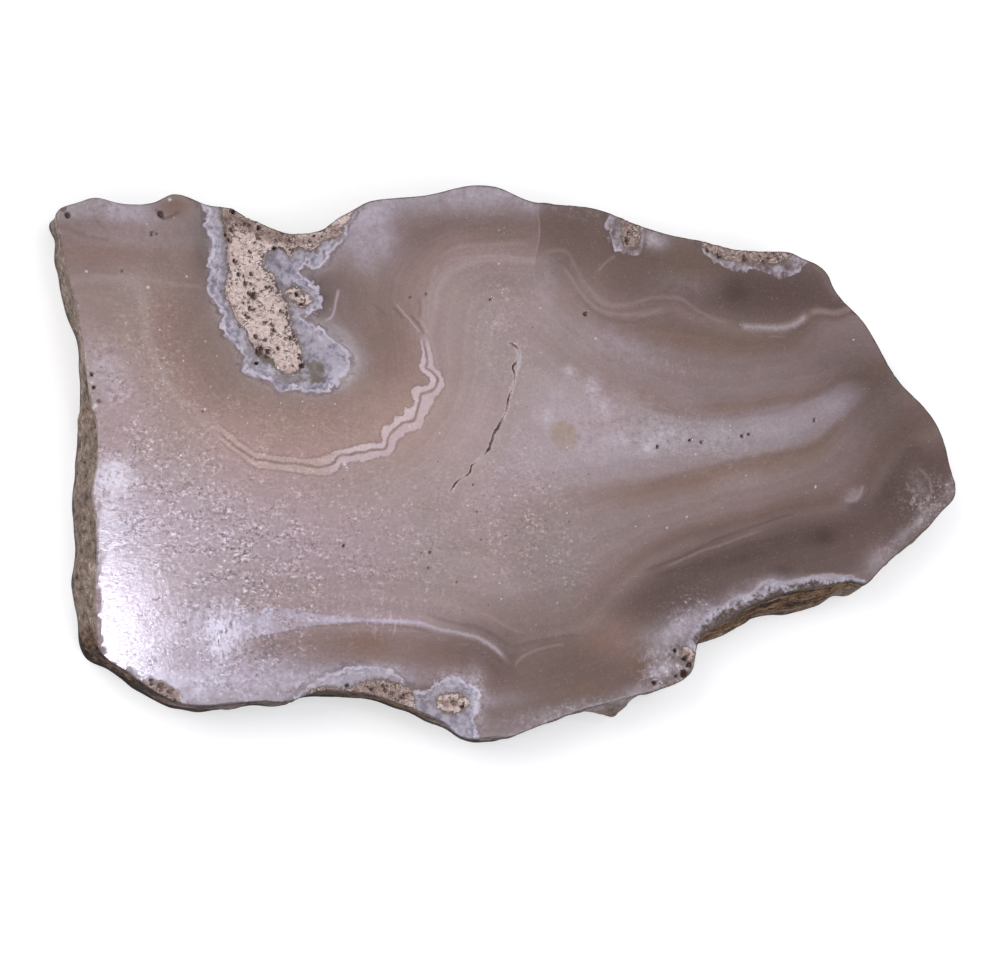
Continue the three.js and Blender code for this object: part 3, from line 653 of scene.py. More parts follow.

# Tones, as they look on a screen

RIGHT_BANDS = [
    (0.0, (130, 114, 112)), (0.04, (118, 101, 98)), (0.12, (112, 94, 90)), (0.25, (107, 89, 86)),
    (0.38, (106, 88, 85)), (0.44, (113, 94, 91)), (0.50, (127, 108, 106)), (0.545, (133, 113, 110)),
    (0.575, (123, 103, 98)), (0.60, (127, 106, 101)), (0.63, (142, 123, 122)), (0.71, (147, 129, 129)),
    (0.76, (137, 115, 109)), (0.785, (140, 118, 113)), (0.82, (155, 139, 143)), (0.92, (171, 157, 164)),
    (1.0, (178, 164, 172)),
]
# Paler on the left: partly the stone's own tone, partly painted sheen
LEFT_BANDS = [
    (0.0, (152, 140, 144)), (0.04, (140, 124, 124)), (0.12, (140, 121, 118)), (0.25, (142, 121, 118)),
    (0.38, (152, 129, 126)), (0.47, (160, 138, 136)), (0.50, (168, 149, 149)), (0.55, (168, 148, 148)),
    (0.60, (166, 146, 145)), (0.68, (169, 150, 150)), (0.75, (172, 154, 156)), (0.85, (170, 150, 151)),
    (1.0, (175, 158, 162)),
]
CRUMB_TONES = [
    (0.0, (104, 80, 72)), (0.20, (150, 124, 114)), (0.38, (194, 168, 160)), (0.55, (214, 190, 184)),
    (0.75, (228, 207, 202)), (1.0, (242, 226, 222)),
]
DULL_CRUMB_TONES = [
    (0.0, (76, 58, 53)), (0.25, (114, 92, 85)), (0.5, (148, 124, 117)), (0.75, (174, 151, 145)),
    (1.0, (204, 184, 178)),
]
CREVICE_TONE = (112, 84, 72)
RIND_TONES = [
    (0.0, (38, 30, 24)), (0.22, (74, 59, 46)), (0.40, (104, 87, 73)), (0.55, (122, 103, 91)),
    (0.72, (140, 120, 108)), (0.86, (166, 146, 134)), (1.0, (206, 188, 176)),
]
FROST_TONES = [
    (0.0, (66, 58, 54)), (0.25, (104, 92, 86)), (0.42, (134, 122, 122)), (0.6, (162, 152, 164)),
    (0.8, (176, 167, 180)), (1.0, (206, 198, 209)),
]
SHADOW_TONE = (113, 94, 89)
DEEP_TONE = (70, 56, 47)
SMOKE_TONE = (92, 74, 69)
WARM_TONE = (136, 106, 88)
MILK_TONE = (196, 187, 202)
TAN_TONE = (168, 146, 130)
LINE_TONE = (198, 188, 204)
LINE_SOFT_TONE = (178, 160, 156)
DARK_LINE_TONE = (92, 76, 74)
ROSY_TONE = (180, 153, 152)
SEAM_TONE = (207, 189, 199)
SEAM_TAN_TONE = (192, 172, 168)
SEAM_OUTER_TONE = (200, 180, 190)
SEAM_GAP_TONE = (132, 108, 102)
HALO_TONE = (140, 134, 148)
HALO_PALE_TONE = (182, 172, 184)
HALO_LINE_TONE = (212, 202, 216)
HALO_SHADE_TONE = (106, 87, 90)
HALO_DULL_TONE = (158, 143, 143)
# White of chalk and saw scratches, and of painted highlights on the nicks and from the glare
PALE_AND_HIGHLIGHT_TONE = (236, 228, 242)
HALO_INNER_TONE = (132, 118, 110)
# Painted shade in hollows and pits; also the darkest stone deep in the frosted edge
HOLLOW_TONE = (78, 58, 48)
POCKET_RIM_TONE = (106, 88, 80)
OLIVE_TONE = (112, 100, 84)
# Painted shade in the pores
PORE_TONE = (92, 75, 68)
# Dark specks, and the painted shade of the nicks
SPECK_TONE = (96, 78, 74)
CRACK_TONE = (96, 72, 66)
CRACK_LIP_TONE = (204, 186, 182)
GLINT_TONE = (250, 244, 248)
PINK_TINT = (1.03, 0.985, 0.99, 1.0)
OLIVE_TINT = (0.99, 1.0, 0.96, 1.0)
LAYER_TINT = (1.10, 1.0, 0.86, 1.0)
COOL_TINT = (1.02, 1.05, 1.15, 1.0)
TAN_TINT = (1.10, 1.07, 0.98, 1.0)
SUGAR_TONE = (196, 184, 190)
SUGAR_GAP_TONE = (108, 92, 92)
# Painted shade along the rim and at the foot of the wall
PAINTED_SHADE_TONE = (38, 33, 31)
RUST_TONE = (120, 82, 66)
STUDIO_LEVEL = 1.14             # how bright a white surface looks under the studio light
STUDIO_SHEEN = 0.030            # what the polish of the stone adds

# Studio lights: place, target, size, power and colour
LIGHTS = [
    ("glare", (0.0914, 0.0672, 0.8), (-0.0503, -0.0220, 0.007), (0.012, 0.036), 0.165, (0.85, 0.82, 1.0)),
    ("soft_left", (-0.9, 0.5, 1.0), (0.0, 0.0, 0.0), (0.9, 0.9), 6.5, (1.0, 0.99, 0.98)),
    ("soft_right", (0.8, -0.9, 1.1), (0.0, 0.0, 0.0), (0.9, 0.9), 4.5, (0.98, 0.99, 1.0)),
]

# Measuring on the slab, in millimetres


def on_face(pixels):
    """The places on the upper face that show at pixels of the picture, to a tenth."""
    eye = np.array([*VIEW_OFFSET, math.sqrt(VIEW_DISTANCE ** 2 - np.dot(VIEW_OFFSET, VIEW_OFFSET))])
    forward = -eye / VIEW_DISTANCE
    right = np.cross(forward, (0, 1, 0))
    right /= np.linalg.norm(right)
    across, down = (np.array(pixels, float) - np.array(IMAGE_SIZE) / 2).T
    rays = (PIXELS_PER_MM * VIEW_DISTANCE * forward + np.outer(across, right)
            - np.outer(down, np.cross(right, forward)))
    hits = eye - rays * eye[2] / rays[:, 2:]
    return (hits[:, :2] + VIEW_CENTRE).round(1)


def areas(name):
    """The outlines of a part of the pattern, as corners of smooth curves."""
    return [on_face(corners) for corners in OUTLINES[name]]


def clouds_of(name):
    """Soft clouds: x, y, half length, half width, turn in degrees, strength."""
    rows = np.array(CLOUDS[name])
    sizes = (rows[:, 2:4] / (PIXELS_PER_MM, PIXELS_PER_MM_UP)).round(1)
    return np.column_stack([on_face(rows[:, :2]), sizes, rows[:, 4:]])


def specks_of(name):
    """Round specks: x, y, radius."""
    rows = np.array(SPECKS[name])
    return np.column_stack([on_face(rows[:, :2]), (rows[:, 2] / PIXELS_PER_MM).round(2)])


def line_layers():
    """The fine lines in layers, so that those of a layer are too far apart to touch.

    A line is its gain, half its width, its points, and a denser trail through them.
    """
    layers = []
    for gain, half_width, pixels in FINE_LINES:
        points = on_face(pixels)
        stops = np.linspace(0, len(points) - 1, 8 * len(points))
        trail = np.column_stack([np.interp(stops, range(len(points)), side) for side in points.T])
        free = [
            layer for layer in layers
            if all(np.linalg.norm(trail[:, None] - other, axis=2).min() > 2 * LINE_REACH
                   for *_, other in layer)]
        if not free:
            free = [[]]
            layers += free
        free[0].append((gain, round(half_width / PIXELS_PER_MM, 2), points, trail))
    return layers


def smooth_line(points, closed=False, steps=4):
    """Points of a smooth curve through a line's points."""
    line = np.array(points, float)
    if closed:
        padded = np.vstack([line[-1], line, line[:2]])
    else:
        padded = np.vstack([2 * line[0] - line[1], line, 2 * line[-1] - line[-2]])
    a, b, c, d = (padded[k:len(padded) - 3 + k] for k in range(4))
    t = (np.arange(steps) / steps)[:, None, None]
    curve = 0.5 * (2 * b + (c - a) * t + (2 * a - 5 * b + 4 * c - d) * t ** 2
                   + (3 * b - a - 3 * c + d) * t ** 3)
    curve = curve.transpose(1, 0, 2).reshape(-1, 2)
    return curve if closed else np.vstack([curve, line[-1]])


def along_line(places, line, closed=False, reach=6.0):
    """Distance, side and run, from 0 to 1, of places along a line. Far places keep the reach."""
    if closed:
        line = np.vstack([line, line[0]])
    steps = np.diff(line, axis=0)
    lengths = np.maximum(np.linalg.norm(steps, axis=1), 1e-9)
    starts = np.concatenate([[0], np.cumsum(lengths)[:-1]])
    distance = np.full(len(places), reach)
    side = np.ones(len(places))
    run = np.zeros(len(places))
    near = np.all((places > line.min(0) - reach) & (places < line.max(0) + reach), axis=1)
    chosen = np.nonzero(near)[0]
    for part in np.array_split(chosen, 1 + len(chosen) * len(steps) // 2_000_000):
        away = places[part, None] - line[None, :-1]
        share = np.clip((away * steps).sum(2) / lengths ** 2, 0, 1)
        gap = np.linalg.norm(away - share[..., None] * steps, axis=2)
        best = gap.argmin(1)
        row = np.arange(len(part))
        step = steps[best]
        offset = away[row, best]
        distance[part] = np.minimum(gap[row, best], reach)
        side[part] = np.sign(step[:, 0] * offset[:, 1] - step[:, 1] * offset[:, 0])
        run[part] = (starts[best] + share[row, best] * lengths[best]) / lengths.sum()
    return distance, side, run


def nearest_gap(places, points):
    """Distance from each place to the nearest of some points."""
    tree = KDTree(len(points))
    for index, (x, y) in enumerate(points):
        tree.insert((x, y, 0), index)
    tree.balance()
    return np.array([tree.find((x, y, 0))[2] for x, y in places])


def inside(places, outline):
    """Which places lie inside a closed outline."""
    result = np.zeros(len(places), bool)
    near = np.all((places > outline.min(0)) & (places < outline.max(0)), axis=1)
    x, y = places[near].T
    found = np.zeros(len(x), bool)
    for (ax, ay), (bx, by) in zip(outline, np.roll(outline, -1, axis=0)):
        if ay == by:
            continue
        crosses = (ay > y) != (by > y)
        found ^= crosses & (x < (bx - ax) * (y - ay) / (by - ay) + ax)
    result[near] = found
    return result


def outline_distance(places, outlines, reach=6.0):
    """Distance to the nearest of several closed outlines, below zero inside them."""
    result = np.full(len(places), reach)
    for points in outlines:
        outline = smooth_line(points, closed=True)
        distance = along_line(places, outline, closed=True, reach=reach)[0]
        distance[inside(places, outline)] *= -1
        result = np.where(result < 0, np.minimum(result, distance), np.where(
            distance < 0, distance, np.minimum(result, distance)))
    return result


def cloud_cover(places, clouds):
    """How strongly soft clouds cover places: 0 to about 1."""
    clear = np.ones(len(places))
    for x, y, length, width, turn, strength in clouds:
        angle = math.radians(turn)
        across = places - (x, y)
        u = (across[:, 0] * math.cos(angle) + across[:, 1] * math.sin(angle)) / length
        v = (across[:, 1] * math.cos(angle) - across[:, 0] * math.sin(angle)) / width
        clear *= 1 - strength * np.exp(-(u ** 2 + v ** 2))
    return 1 - clear


def speck_cover(places, specks):
    """1 in the middle of a speck, 0 at its edge and beyond."""
    cover = np.zeros(len(places))
    for x, y, radius in specks:
        near = np.all(np.abs(places - (x, y)) < radius, axis=1)
        gap = np.linalg.norm(places[near] - (x, y), axis=1)
        cover[near] = np.maximum(cover[near], 1 - gap / radius)
    return cover


def plate_kernel(first, second):
    """How strongly each knot of a thin plate lifts each place."""
    squares = ((first[:, None] - second[None]) ** 2).sum(2) / PLATE_SIZE ** 2
    return 0.5 * squares * np.log(np.maximum(squares, 1e-12))


def growth_field(places):
    """The smoothest field through all growth lines, a thin-plate spline."""
    knots = []
    levels = []
    for level, pixels in GROWTH_LINES:
        line = on_face(pixels)
        lengths = np.concatenate([[0], np.cumsum(np.linalg.norm(np.diff(line, axis=0), axis=1))])
        count = max(2, round(lengths[-1] / KNOT_SPACING))
        stops = np.linspace(0, lengths[-1], count)
        knots.extend(zip(np.interp(stops, lengths, line[:, 0]), np.interp(stops, lengths, line[:, 1])))
        levels.extend([level] * count)
    knots = np.array(knots)
    count = len(knots)
    flat = np.column_stack([np.ones(count), knots / PLATE_SIZE])
    matrix = np.zeros((count + 3, count + 3))
    matrix[:count, :count] = plate_kernel(knots, knots) + PLATE_SLACK * np.eye(count)
    matrix[:count, count:] = flat
    matrix[count:, :count] = flat.T
    weights = np.linalg.solve(matrix, np.concatenate([levels, np.zeros(3)]))
    field = np.empty(len(places))
    for part in np.array_split(np.arange(len(places)), 1 + len(places) // 6000):
        field[part] = (plate_kernel(places[part], knots) @ weights[:count] + weights[count]
                       + places[part] / PLATE_SIZE @ weights[count + 1:])
    return field


def ease(values, low, high):
    """0 below low, 1 above high, and smooth between them."""
    share = np.clip((values - low) / (high - low), 0, 1)
    return share * share * (3 - 2 * share)


def grain(places, size, octaves=3):
    """Fractal noise at places, about -1 to 1, with swellings of the given size."""
    return np.array([
        stone_noise.fractal(Vector(place) / size, 1.0, 2.0, octaves) for place in places])


# Modelling


def only(piece):
    """Makes a piece the only thing selected, and the active one."""
    bpy.ops.object.select_all(action="DESELECT")
    piece.select_set(True)
    bpy.context.view_layer.objects.active = piece


def vertex_places(mesh):
    """The places of a mesh's vertices, in metres."""
    places = np.empty(len(mesh.vertices) * 3)
    mesh.vertices.foreach_get("co", places)
    return places.reshape(-1, 3)


def face_means(mesh, values):
    """The mean over each face of a value, or a place, that is known at its corners."""
    corners = np.empty(len(mesh.loops), np.int64)
    mesh.loops.foreach_get("vertex_index", corners)
    starts = np.empty(len(mesh.polygons), np.int64)
    mesh.polygons.foreach_get("loop_start", starts)
    counts = np.diff(np.append(starts, len(corners)))
    sums = np.add.reduceat(values[corners], starts, axis=0)
    return (sums.T / counts).T


def select_only(mesh, faces=None, edges=None):
    """Selects the given faces or edges, each a list of true and false, and nothing else."""
    mesh.vertices.foreach_set("select", np.zeros(len(mesh.vertices), bool))
    chosen_edges = np.zeros(len(mesh.edges), bool) if edges is None else edges
    chosen_faces = np.zeros(len(mesh.polygons), bool) if faces is None else faces
    if edges is not None:
        vertices = np.zeros(len(mesh.vertices), bool)
        vertices[edge_ends(mesh)[edges]] = True
        mesh.vertices.foreach_set("select", vertices)
    mesh.edges.foreach_set("select", chosen_edges)
    mesh.polygons.foreach_set("select", chosen_faces)


def edit_selected(mode, *steps):
    """Runs steps in edit mode on what is selected."""
    bpy.context.tool_settings.mesh_select_mode = (mode == "VERT", mode == "EDGE", mode == "FACE")
    bpy.ops.object.mode_set(mode="EDIT")
    for step in steps:
        step()
    bpy.ops.object.mode_set(mode="OBJECT")


def edge_ends(mesh):
    """The two vertices of each edge."""
    ends = np.empty(len(mesh.edges) * 2, np.int64)
    mesh.edges.foreach_get("vertices", ends)
    return ends.reshape(-1, 2)


def open_edges(mesh, height):
    """Edges with a face on one side only, at a height."""
    used = np.empty(len(mesh.loops), np.int64)
    mesh.loops.foreach_get("edge_index", used)
    level = np.abs(vertex_places(mesh)[edge_ends(mesh), 2] - height).max(1) < TOUCHING * MM
    return (np.bincount(used, minlength=len(mesh.edges)) == 1) & level


def rim_outline(mesh, height):
    """The open rim at a height as an ordered outline, in millimetres."""
    links = {}
    for a, b in edge_ends(mesh)[open_edges(mesh, height)]:
        links.setdefault(a, []).append(b)
        links.setdefault(b, []).append(a)
    start = next(iter(links))
    order = [start]
    ahead = links[start][0]
    while ahead != start:
        order.append(ahead)
        ahead = next(n for n in links[ahead] if n != order[-2])
    return vertex_places(mesh)[order, :2] / MM


def off_rows(places):
    """Which vertices of the solid lie between the rows of its wall, so in a hollow of its face."""
    rows = places[:, 2] * WALL_ROWS / THICKNESS
    return np.abs(rows - rows.round()) > ROW_SLACK


def make_wall():
    """The wall of the solid alone, as a smooth band."""
    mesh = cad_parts[NODE].data.copy()
    mesh.name = PIECE
    mesh.materials.clear()
    piece = bpy.data.objects.new(PIECE, mesh)
    bpy.context.scene.collection.objects.link(piece)
    only(piece)
    edit_selected(
        "VERT",
        lambda: bpy.ops.mesh.select_all(action="SELECT"),
        lambda: bpy.ops.mesh.remove_doubles(threshold=TOUCHING * MM),
    )
    mesh = piece.data
    normals = np.empty(len(mesh.polygons) * 3)
    mesh.polygons.foreach_get("normal", normals)
    level = np.abs(normals.reshape(-1, 3)[:, 2]) > 0.999
    in_hollow = face_means(mesh, off_rows(vertex_places(mesh)).astype(float)) > 0
    select_only(mesh, faces=in_hollow | level)
    edit_selected("FACE", lambda: bpy.ops.mesh.delete(type="FACE"))
    edit_selected(
        "FACE",
        lambda: bpy.ops.mesh.select_all(action="SELECT"),
        lambda: bpy.ops.mesh.tris_convert_to_quads(face_threshold=math.pi, shape_threshold=math.pi),
    )
    smooth = piece.modifiers.new("Smooth", "SUBSURF")
    smooth.levels = 2
    smooth.render_levels = 2
    bpy.ops.object.modifier_apply(modifier=smooth.name)
    return piece


def close_face(piece, outline, height, cell):
    """Lays a grid of cells inside the rim at a height, and joins it to the rim."""
    mesh = piece.data
    wall_faces = len(mesh.polygons)
    low, high = outline.min(0) * MM, outline.max(0) * MM
    middle = (*((low + high) / 2), height)
    span = (*(high - low), 1)
    cells = [math.ceil(length / cell) for length in span[:2]]
    edit_selected(
        "FACE",
        lambda: bpy.ops.mesh.select_all(action="DESELECT"),
        lambda: bpy.ops.mesh.primitive_grid_add(
            x_subdivisions=cells[0], y_subdivisions=cells[1], size=1, location=middle),
        lambda: bpy.ops.transform.resize(value=span, center_override=middle),
    )
    mesh = piece.data
    places = vertex_places(mesh)[:, :2] / MM
    clear = nearest_gap(places, outline)
    clear[~inside(places, outline)] *= -1
    outer = face_means(mesh, (clear < RIM_CLEARANCE * cell / MM).astype(float)) > 0
    outer[:wall_faces] = False
    select_only(mesh, faces=outer)
    edit_selected("FACE", lambda: bpy.ops.mesh.delete(type="FACE"))
    mesh = piece.data
    select_only(mesh, edges=open_edges(mesh, height))
    edit_selected("EDGE", lambda: bpy.ops.mesh.fill(use_beauty=True))


def refine(piece, near, cuts):
    """Cuts up the faces of the upper side whose middle passes a test."""
    mesh = piece.data
    middles = face_means(mesh, vertex_places(mesh))
    top = middles[:, 2] > THICKNESS - TOUCHING * MM
    chosen = top.copy()
    chosen[top] = near(middles[top, :2] / MM)
    select_only(mesh, faces=chosen)
    edit_selected("FACE", lambda: bpy.ops.mesh.subdivide(number_cuts=cuts))


def hollows_of_solid():
    """Places in the solid's pores, pocket and crack, in millimetres."""
    places = vertex_places(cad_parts[NODE].data)
    return places[off_rows(places), :2] / MM


def depth_of_solid(places):
    """How far the solid lies under its upper face at places, in millimetres."""
    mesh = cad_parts[NODE].data
    solid = BVHTree.FromPolygons([v.co for v in mesh.vertices], [p.vertices for p in mesh.polygons])
    down = Vector((0, 0, -1))
    depths = np.zeros(len(places))
    for index, (x, y) in enumerate(places):
        hit = solid.ray_cast(Vector((x * MM, y * MM, 2 * THICKNESS)), down)[0]
        if hit is not None:
            depths[index] = (THICKNESS - hit.z) / MM
    return np.clip(depths, 0, DEEPEST_HOLLOW)


def pore_depths(places, inner):
    """Pores, pocket and crack of the solid, with uneven edges, and the crack mostly shut."""
    flat = places[:, :2]
    sunk = np.zeros(len(places))
    warp = 0.14 * np.column_stack([grain(places[inner], 0.7, 2), grain(places[inner] + 30, 0.7, 2)])
    sunk[inner] = np.minimum(depth_of_solid(flat[inner] + warp), VISIBLE_DEPTH)
    split = along_line(flat, smooth_line(on_face(CRACK)), reach=2.0)[0] < CRACK_WIDTH
    gape = cloud_cover(flat[split], clouds_of("crack_open"))
    sunk[split] *= np.clip(0.10 + 0.50 * gape, 0.1, 1)
    return sunk


def crumb_depths(places, on_top):
    """The crumbly floor of the pockets, and the pits in it."""
    flat = places[:, :2]
    pocket = outline_distance(flat, areas("pocket"))
    crumbly = on_top & (pocket < 0)
    sunk = np.zeros(len(places))
    sunk[crumbly] = (0.12 + 0.22 * grain(places[crumbly], 0.9, 4)
                     + 0.30 * np.maximum(0, grain(places[crumbly] + 50, 0.45, 2) - 0.1))
    sunk *= ease(-pocket, 0, 0.35)
    sunk += PIT_DEPTH * speck_cover(flat, specks_of("pit")) * on_top
    return np.maximum(sunk, -0.03)


def chip_depths(places, on_top, edge):
    """The broken corner of the lower edge, and small chips along the rim."""
    sunk = np.zeros(len(places))
    away = np.linalg.norm(places[:, :2] - ROUGH_CORNER, axis=1)
    corner = on_top & (away < ROUGH_CORNER_SIZE)
    broken = np.maximum(0, grain(places[corner], 0.8, 3) + 0.15)
    sunk[corner] = 0.35 * broken * ease(ROUGH_CORNER_SIZE - away[corner], 0, 1.5)
    rim = on_top & (edge < CHIP_WIDTH)
    chip = np.maximum(0, grain(places[rim], 1.2, 3)) * (1 - ease(edge[rim], 0, CHIP_WIDTH))
    sunk[rim] += CHIP_DEPTH * chip
    return sunk


def rind_lumps(places, wall):
    """Lumps and dents of the rind, which fade towards the sawn faces."""
    lumps = np.zeros(len(places))
    lumps[wall] = (LUMP_HEIGHT * grain(places[wall], 1.9, 3)
                   - DENT_DEPTH * np.maximum(0, grain(places[wall] + 90, 0.8, 2) - 0.12))
    return lumps * ease(places[:, 2], 0, 1.2) * ease(HEIGHT - places[:, 2], 0, 1.0)


def shape_stone(piece, outline, settings):
    """Moves the vertices: pores, pocket and crack, a chipped edge and a rough rind."""
    mesh = piece.data
    places = vertex_places(mesh) / MM
    normals = np.empty(len(mesh.vertices) * 3)
    mesh.vertices.foreach_get("normal", normals)
    edge = nearest_gap(places[:, :2], outline)
    on_top = places[:, 2] > HEIGHT - TOUCHING
    wall = ~(on_top | (places[:, 2] < TOUCHING))
    sunk = pore_depths(places, on_top & (edge > 0.15))
    sunk += crumb_depths(places, on_top)
    sunk += chip_depths(places, on_top, edge)
    moved = places.copy()
    moved[:, 2] -= np.where(on_top, sunk, 0)
    relief = rind_lumps(places, wall) * settings.rind_relief / MM / LUMP_HEIGHT
    moved += normals.reshape(-1, 3) * relief[:, None]
    mesh.vertices.foreach_set("co", (moved * MM).ravel())
    mesh.update()
    return sunk, wall, edge


def store(mesh, name, values):
    """Keeps a value of each vertex under a name that the material reads."""
    attribute = mesh.attributes.new(name, "FLOAT", "POINT")
    attribute.data.foreach_set("value", np.asarray(values, np.float32))


def mark_lines(mesh, flat):
    """Stores the fine lines, a layer at a time: how far off its nearest line a place is, and its gain."""
    for layer, lines in enumerate(line_layers()):
        nearest = np.full(len(flat), LINE_REACH)
        signed = np.full(len(flat), LINE_REACH)
        gain = np.zeros(len(flat))
        for strength, half_width, points, _ in lines:
            distance, side, run = along_line(flat, smooth_line(points), reach=LINE_REACH)
            closer = distance < nearest
            nearest[closer] = distance[closer]
            signed[closer] = (side * distance / half_width)[closer]
            fade = ease(np.minimum(run, 1 - run), 0.0, 0.09) * ease(LINE_REACH - distance, 0.0, 0.5)
            gain[closer] = (strength * fade)[closer]
        store(mesh, f"line_{layer}", signed)
        store(mesh, f"gain_{layer}", gain)


def mark_stone(piece, sunk, wall, edge):
    """Stores on the vertices where the pattern of the stone lies."""
    mesh = piece.data
    places = vertex_places(mesh) / MM
    flat = places[:, :2].copy()
    flat += np.outer((HEIGHT - places[:, 2]) / HEIGHT, DEPTH_LEAN)
    for name in OUTLINES:
        store(mesh, name, outline_distance(flat, areas(name)))
    for name in CLOUDS:
        store(mesh, name, cloud_cover(flat, clouds_of(name)))
    for name in SPECKS:
        store(mesh, name, speck_cover(flat, specks_of(name)))
    mark_lines(mesh, flat)
    distance, side, run = along_line(flat, smooth_line(on_face(SEAM)), reach=3.0)
    store(mesh, "seam", distance * side)
    store(mesh, "seam_cover", ease(flat[:, 0], *SEAM_STARTS) * ease(1 - run, 0.0, 0.04))
    store(mesh, "crack", along_line(flat, smooth_line(on_face(CRACK)), reach=4.0)[0])
    store(mesh, "growth", growth_field(flat))
    store(mesh, "left", ease(-flat[:, 0], *LEFT_SIDE))
    store(mesh, "sunk", sunk)
    store(mesh, "edge", edge)
    store(mesh, "rind", wall)


def refine_details(piece):
    """Makes the mesh of the upper face finest where the pattern has relief or a sharp edge."""
    points = np.vstack([hollows_of_solid(), specks_of("glint")[:, :2], specks_of("dark")[:, :2]])
    pockets, seam, halo = areas("pocket"), areas("seam_band"), areas("halo")[:1]
    crack = smooth_line(on_face(CRACK))
    refine(piece, lambda middles: (nearest_gap(middles, points) < NEAR_PORE)
           | (outline_distance(middles, pockets) < NEAR_POCKET), 2)
    refine(piece, lambda middles: (np.abs(outline_distance(middles, seam)) < NEAR_SEAM)
           | (np.abs(outline_distance(middles, halo)) < NEAR_HALO), 1)
    refine(piece, lambda middles: along_line(middles, crack)[0] < NEAR_CRACK, 1)


def make_stone(settings):
    """Models the slab: the solid's wall, two new faces, their details, and the marks of the pattern."""
    piece = make_wall()
    rims = [(THICKNESS, settings.face_cell), (0.0, settings.back_cell)]
    outlines = [rim_outline(piece.data, height) for height, _ in rims]
    for outline, (height, cell) in zip(outlines, rims):
        close_face(piece, outline, height, cell)
    edit_selected(
        "FACE",
        lambda: bpy.ops.mesh.select_all(action="SELECT"),
        lambda: bpy.ops.mesh.normals_make_consistent(inside=False),
    )
    refine_details(piece)
    sunk, wall, edge = shape_stone(piece, outlines[0], settings)
    mark_stone(piece, sunk, wall, edge)
    only(piece)
    bpy.ops.object.shade_smooth_by_angle(angle=math.radians(SMOOTH_ANGLE))
    return piece



# Materials


def tone(red, green, blue):
    """The colour of stone that looks so, 0 to 255 each, on a screen and under the studio light."""
    shown = (((v / 255 + 0.055) / 1.055) ** 2.4 for v in (red, green, blue))
    return (*(max(v - STUDIO_SHEEN, 0.004) / STUDIO_LEVEL for v in shown), 1.0)


class Shade:
    """A socket of a material. Arithmetic on it adds Math nodes."""

    def __init__(self, finish, socket):
        self.finish = finish
        self.socket = socket

    def math(self, operation, *others, first=None):
        values = (self, *others) if first is None else (first, self)
        return self.finish.node("Math", {"operation": operation}, dict(enumerate(values)))

    def __add__(self, other):
        return self.math("ADD", other)

    def __sub__(self, other):
        return self.math("SUBTRACT", other)

    def __rsub__(self, other):
        return self.math("SUBTRACT", first=other)

    def __mul__(self, other):
        return self.math("MULTIPLY", other)

    def __truediv__(self, other):
        return self.math("DIVIDE", other)

    def __abs__(self):
        return self.math("ABSOLUTE")

    __radd__ = __add__
    __rmul__ = __mul__

    def least(self, other):
        """The lesser of this and another value."""
        return self.math("MINIMUM", other)

    def most(self, other):
        """The greater of this and another value."""
        return self.math("MAXIMUM", other)

    def between(self, low, high):
        return self.least(high).most(low)

    def other(self, output):
        """Another output of the same node."""
        return Shade(self.finish, self.socket.node.outputs[output])

    def rise(self, low, high):
        """0 below low, 1 above high, and smooth between them. It falls if low is above high."""
        ends = (low, high, 0.0, 1.0) if low < high else (high, low, 1.0, 0.0)
        return self.finish.node("MapRange", {"interpolation_type": "SMOOTHSTEP"},
                                {"Value": self, "From Min": ends[0], "From Max": ends[1],
                                 "To Min": ends[2], "To Max": ends[3]})


class Finish:
    """A material under construction."""

    def __init__(self, name):
        self.material = bpy.data.materials.new(name)
        self.material.use_nodes = True
        self.tree = self.material.node_tree
        self.tree.nodes.clear()

    def node(self, kind, settings=None, inputs=None, output=0):
        """A node of a kind, with its settings, and the values or links of its inputs."""
        made = self.tree.nodes.new("ShaderNode" + kind)
        for name, value in (settings or {}).items():
            if name == "stops":
                self.set_stops(made.color_ramp, value)
            else:
                setattr(made, name, value)
        for name, value in (inputs or {}).items():
            if isinstance(value, Shade):
                self.tree.links.new(value.socket, made.inputs[name])
            else:
                made.inputs[name].default_value = value
        return Shade(self, made.outputs[output]) if len(made.outputs) else None

    @staticmethod
    def set_stops(ramp, stops):
        while len(ramp.elements) < len(stops):
            ramp.elements.new(1.0)
        for element, (position, colour) in zip(ramp.elements, stops):
            element.position = position
            element.color = colour

    def field(self, name):
        """A value that is stored on the vertices of the mesh."""
        return self.node("Attribute", {"attribute_name": name}, output="Fac")

    def noise(self, place, per_mm, detail=2.0, roughness=0.5, distortion=0.0):
        """Noise about zero, from about -0.5 to 0.5."""
        value = self.node("TexNoise", None, {
            "Vector": place, "Scale": per_mm / MM, "Detail": detail,
            "Roughness": roughness, "Distortion": distortion})
        return value - 0.5

    def mix(self, first, second, amount, blend="MIX"):
        """One colour turning into another as the amount goes from 0 to 1."""
        return self.node("Mix", {"data_type": "RGBA", "blend_type": blend},
                         {0: amount, 6: first, 7: second}, output=2)

    def lay(self, colour, shown, amount):
        """Lays a tone over a colour."""
        return self.mix(colour, tone(*shown), amount)

    def ramp(self, level, stops):
        """Tones along a level from 0 to 1."""
        colours = [(position, tone(*shown)) for position, shown in stops]
        return self.node("ValToRGB", {"stops": colours}, {"Fac": level})

    def brighten(self, colour, factor):
        """Multiplies a colour by a number."""
        return self.node("VectorMath", {"operation": "SCALE"}, {0: colour, "Scale": factor})


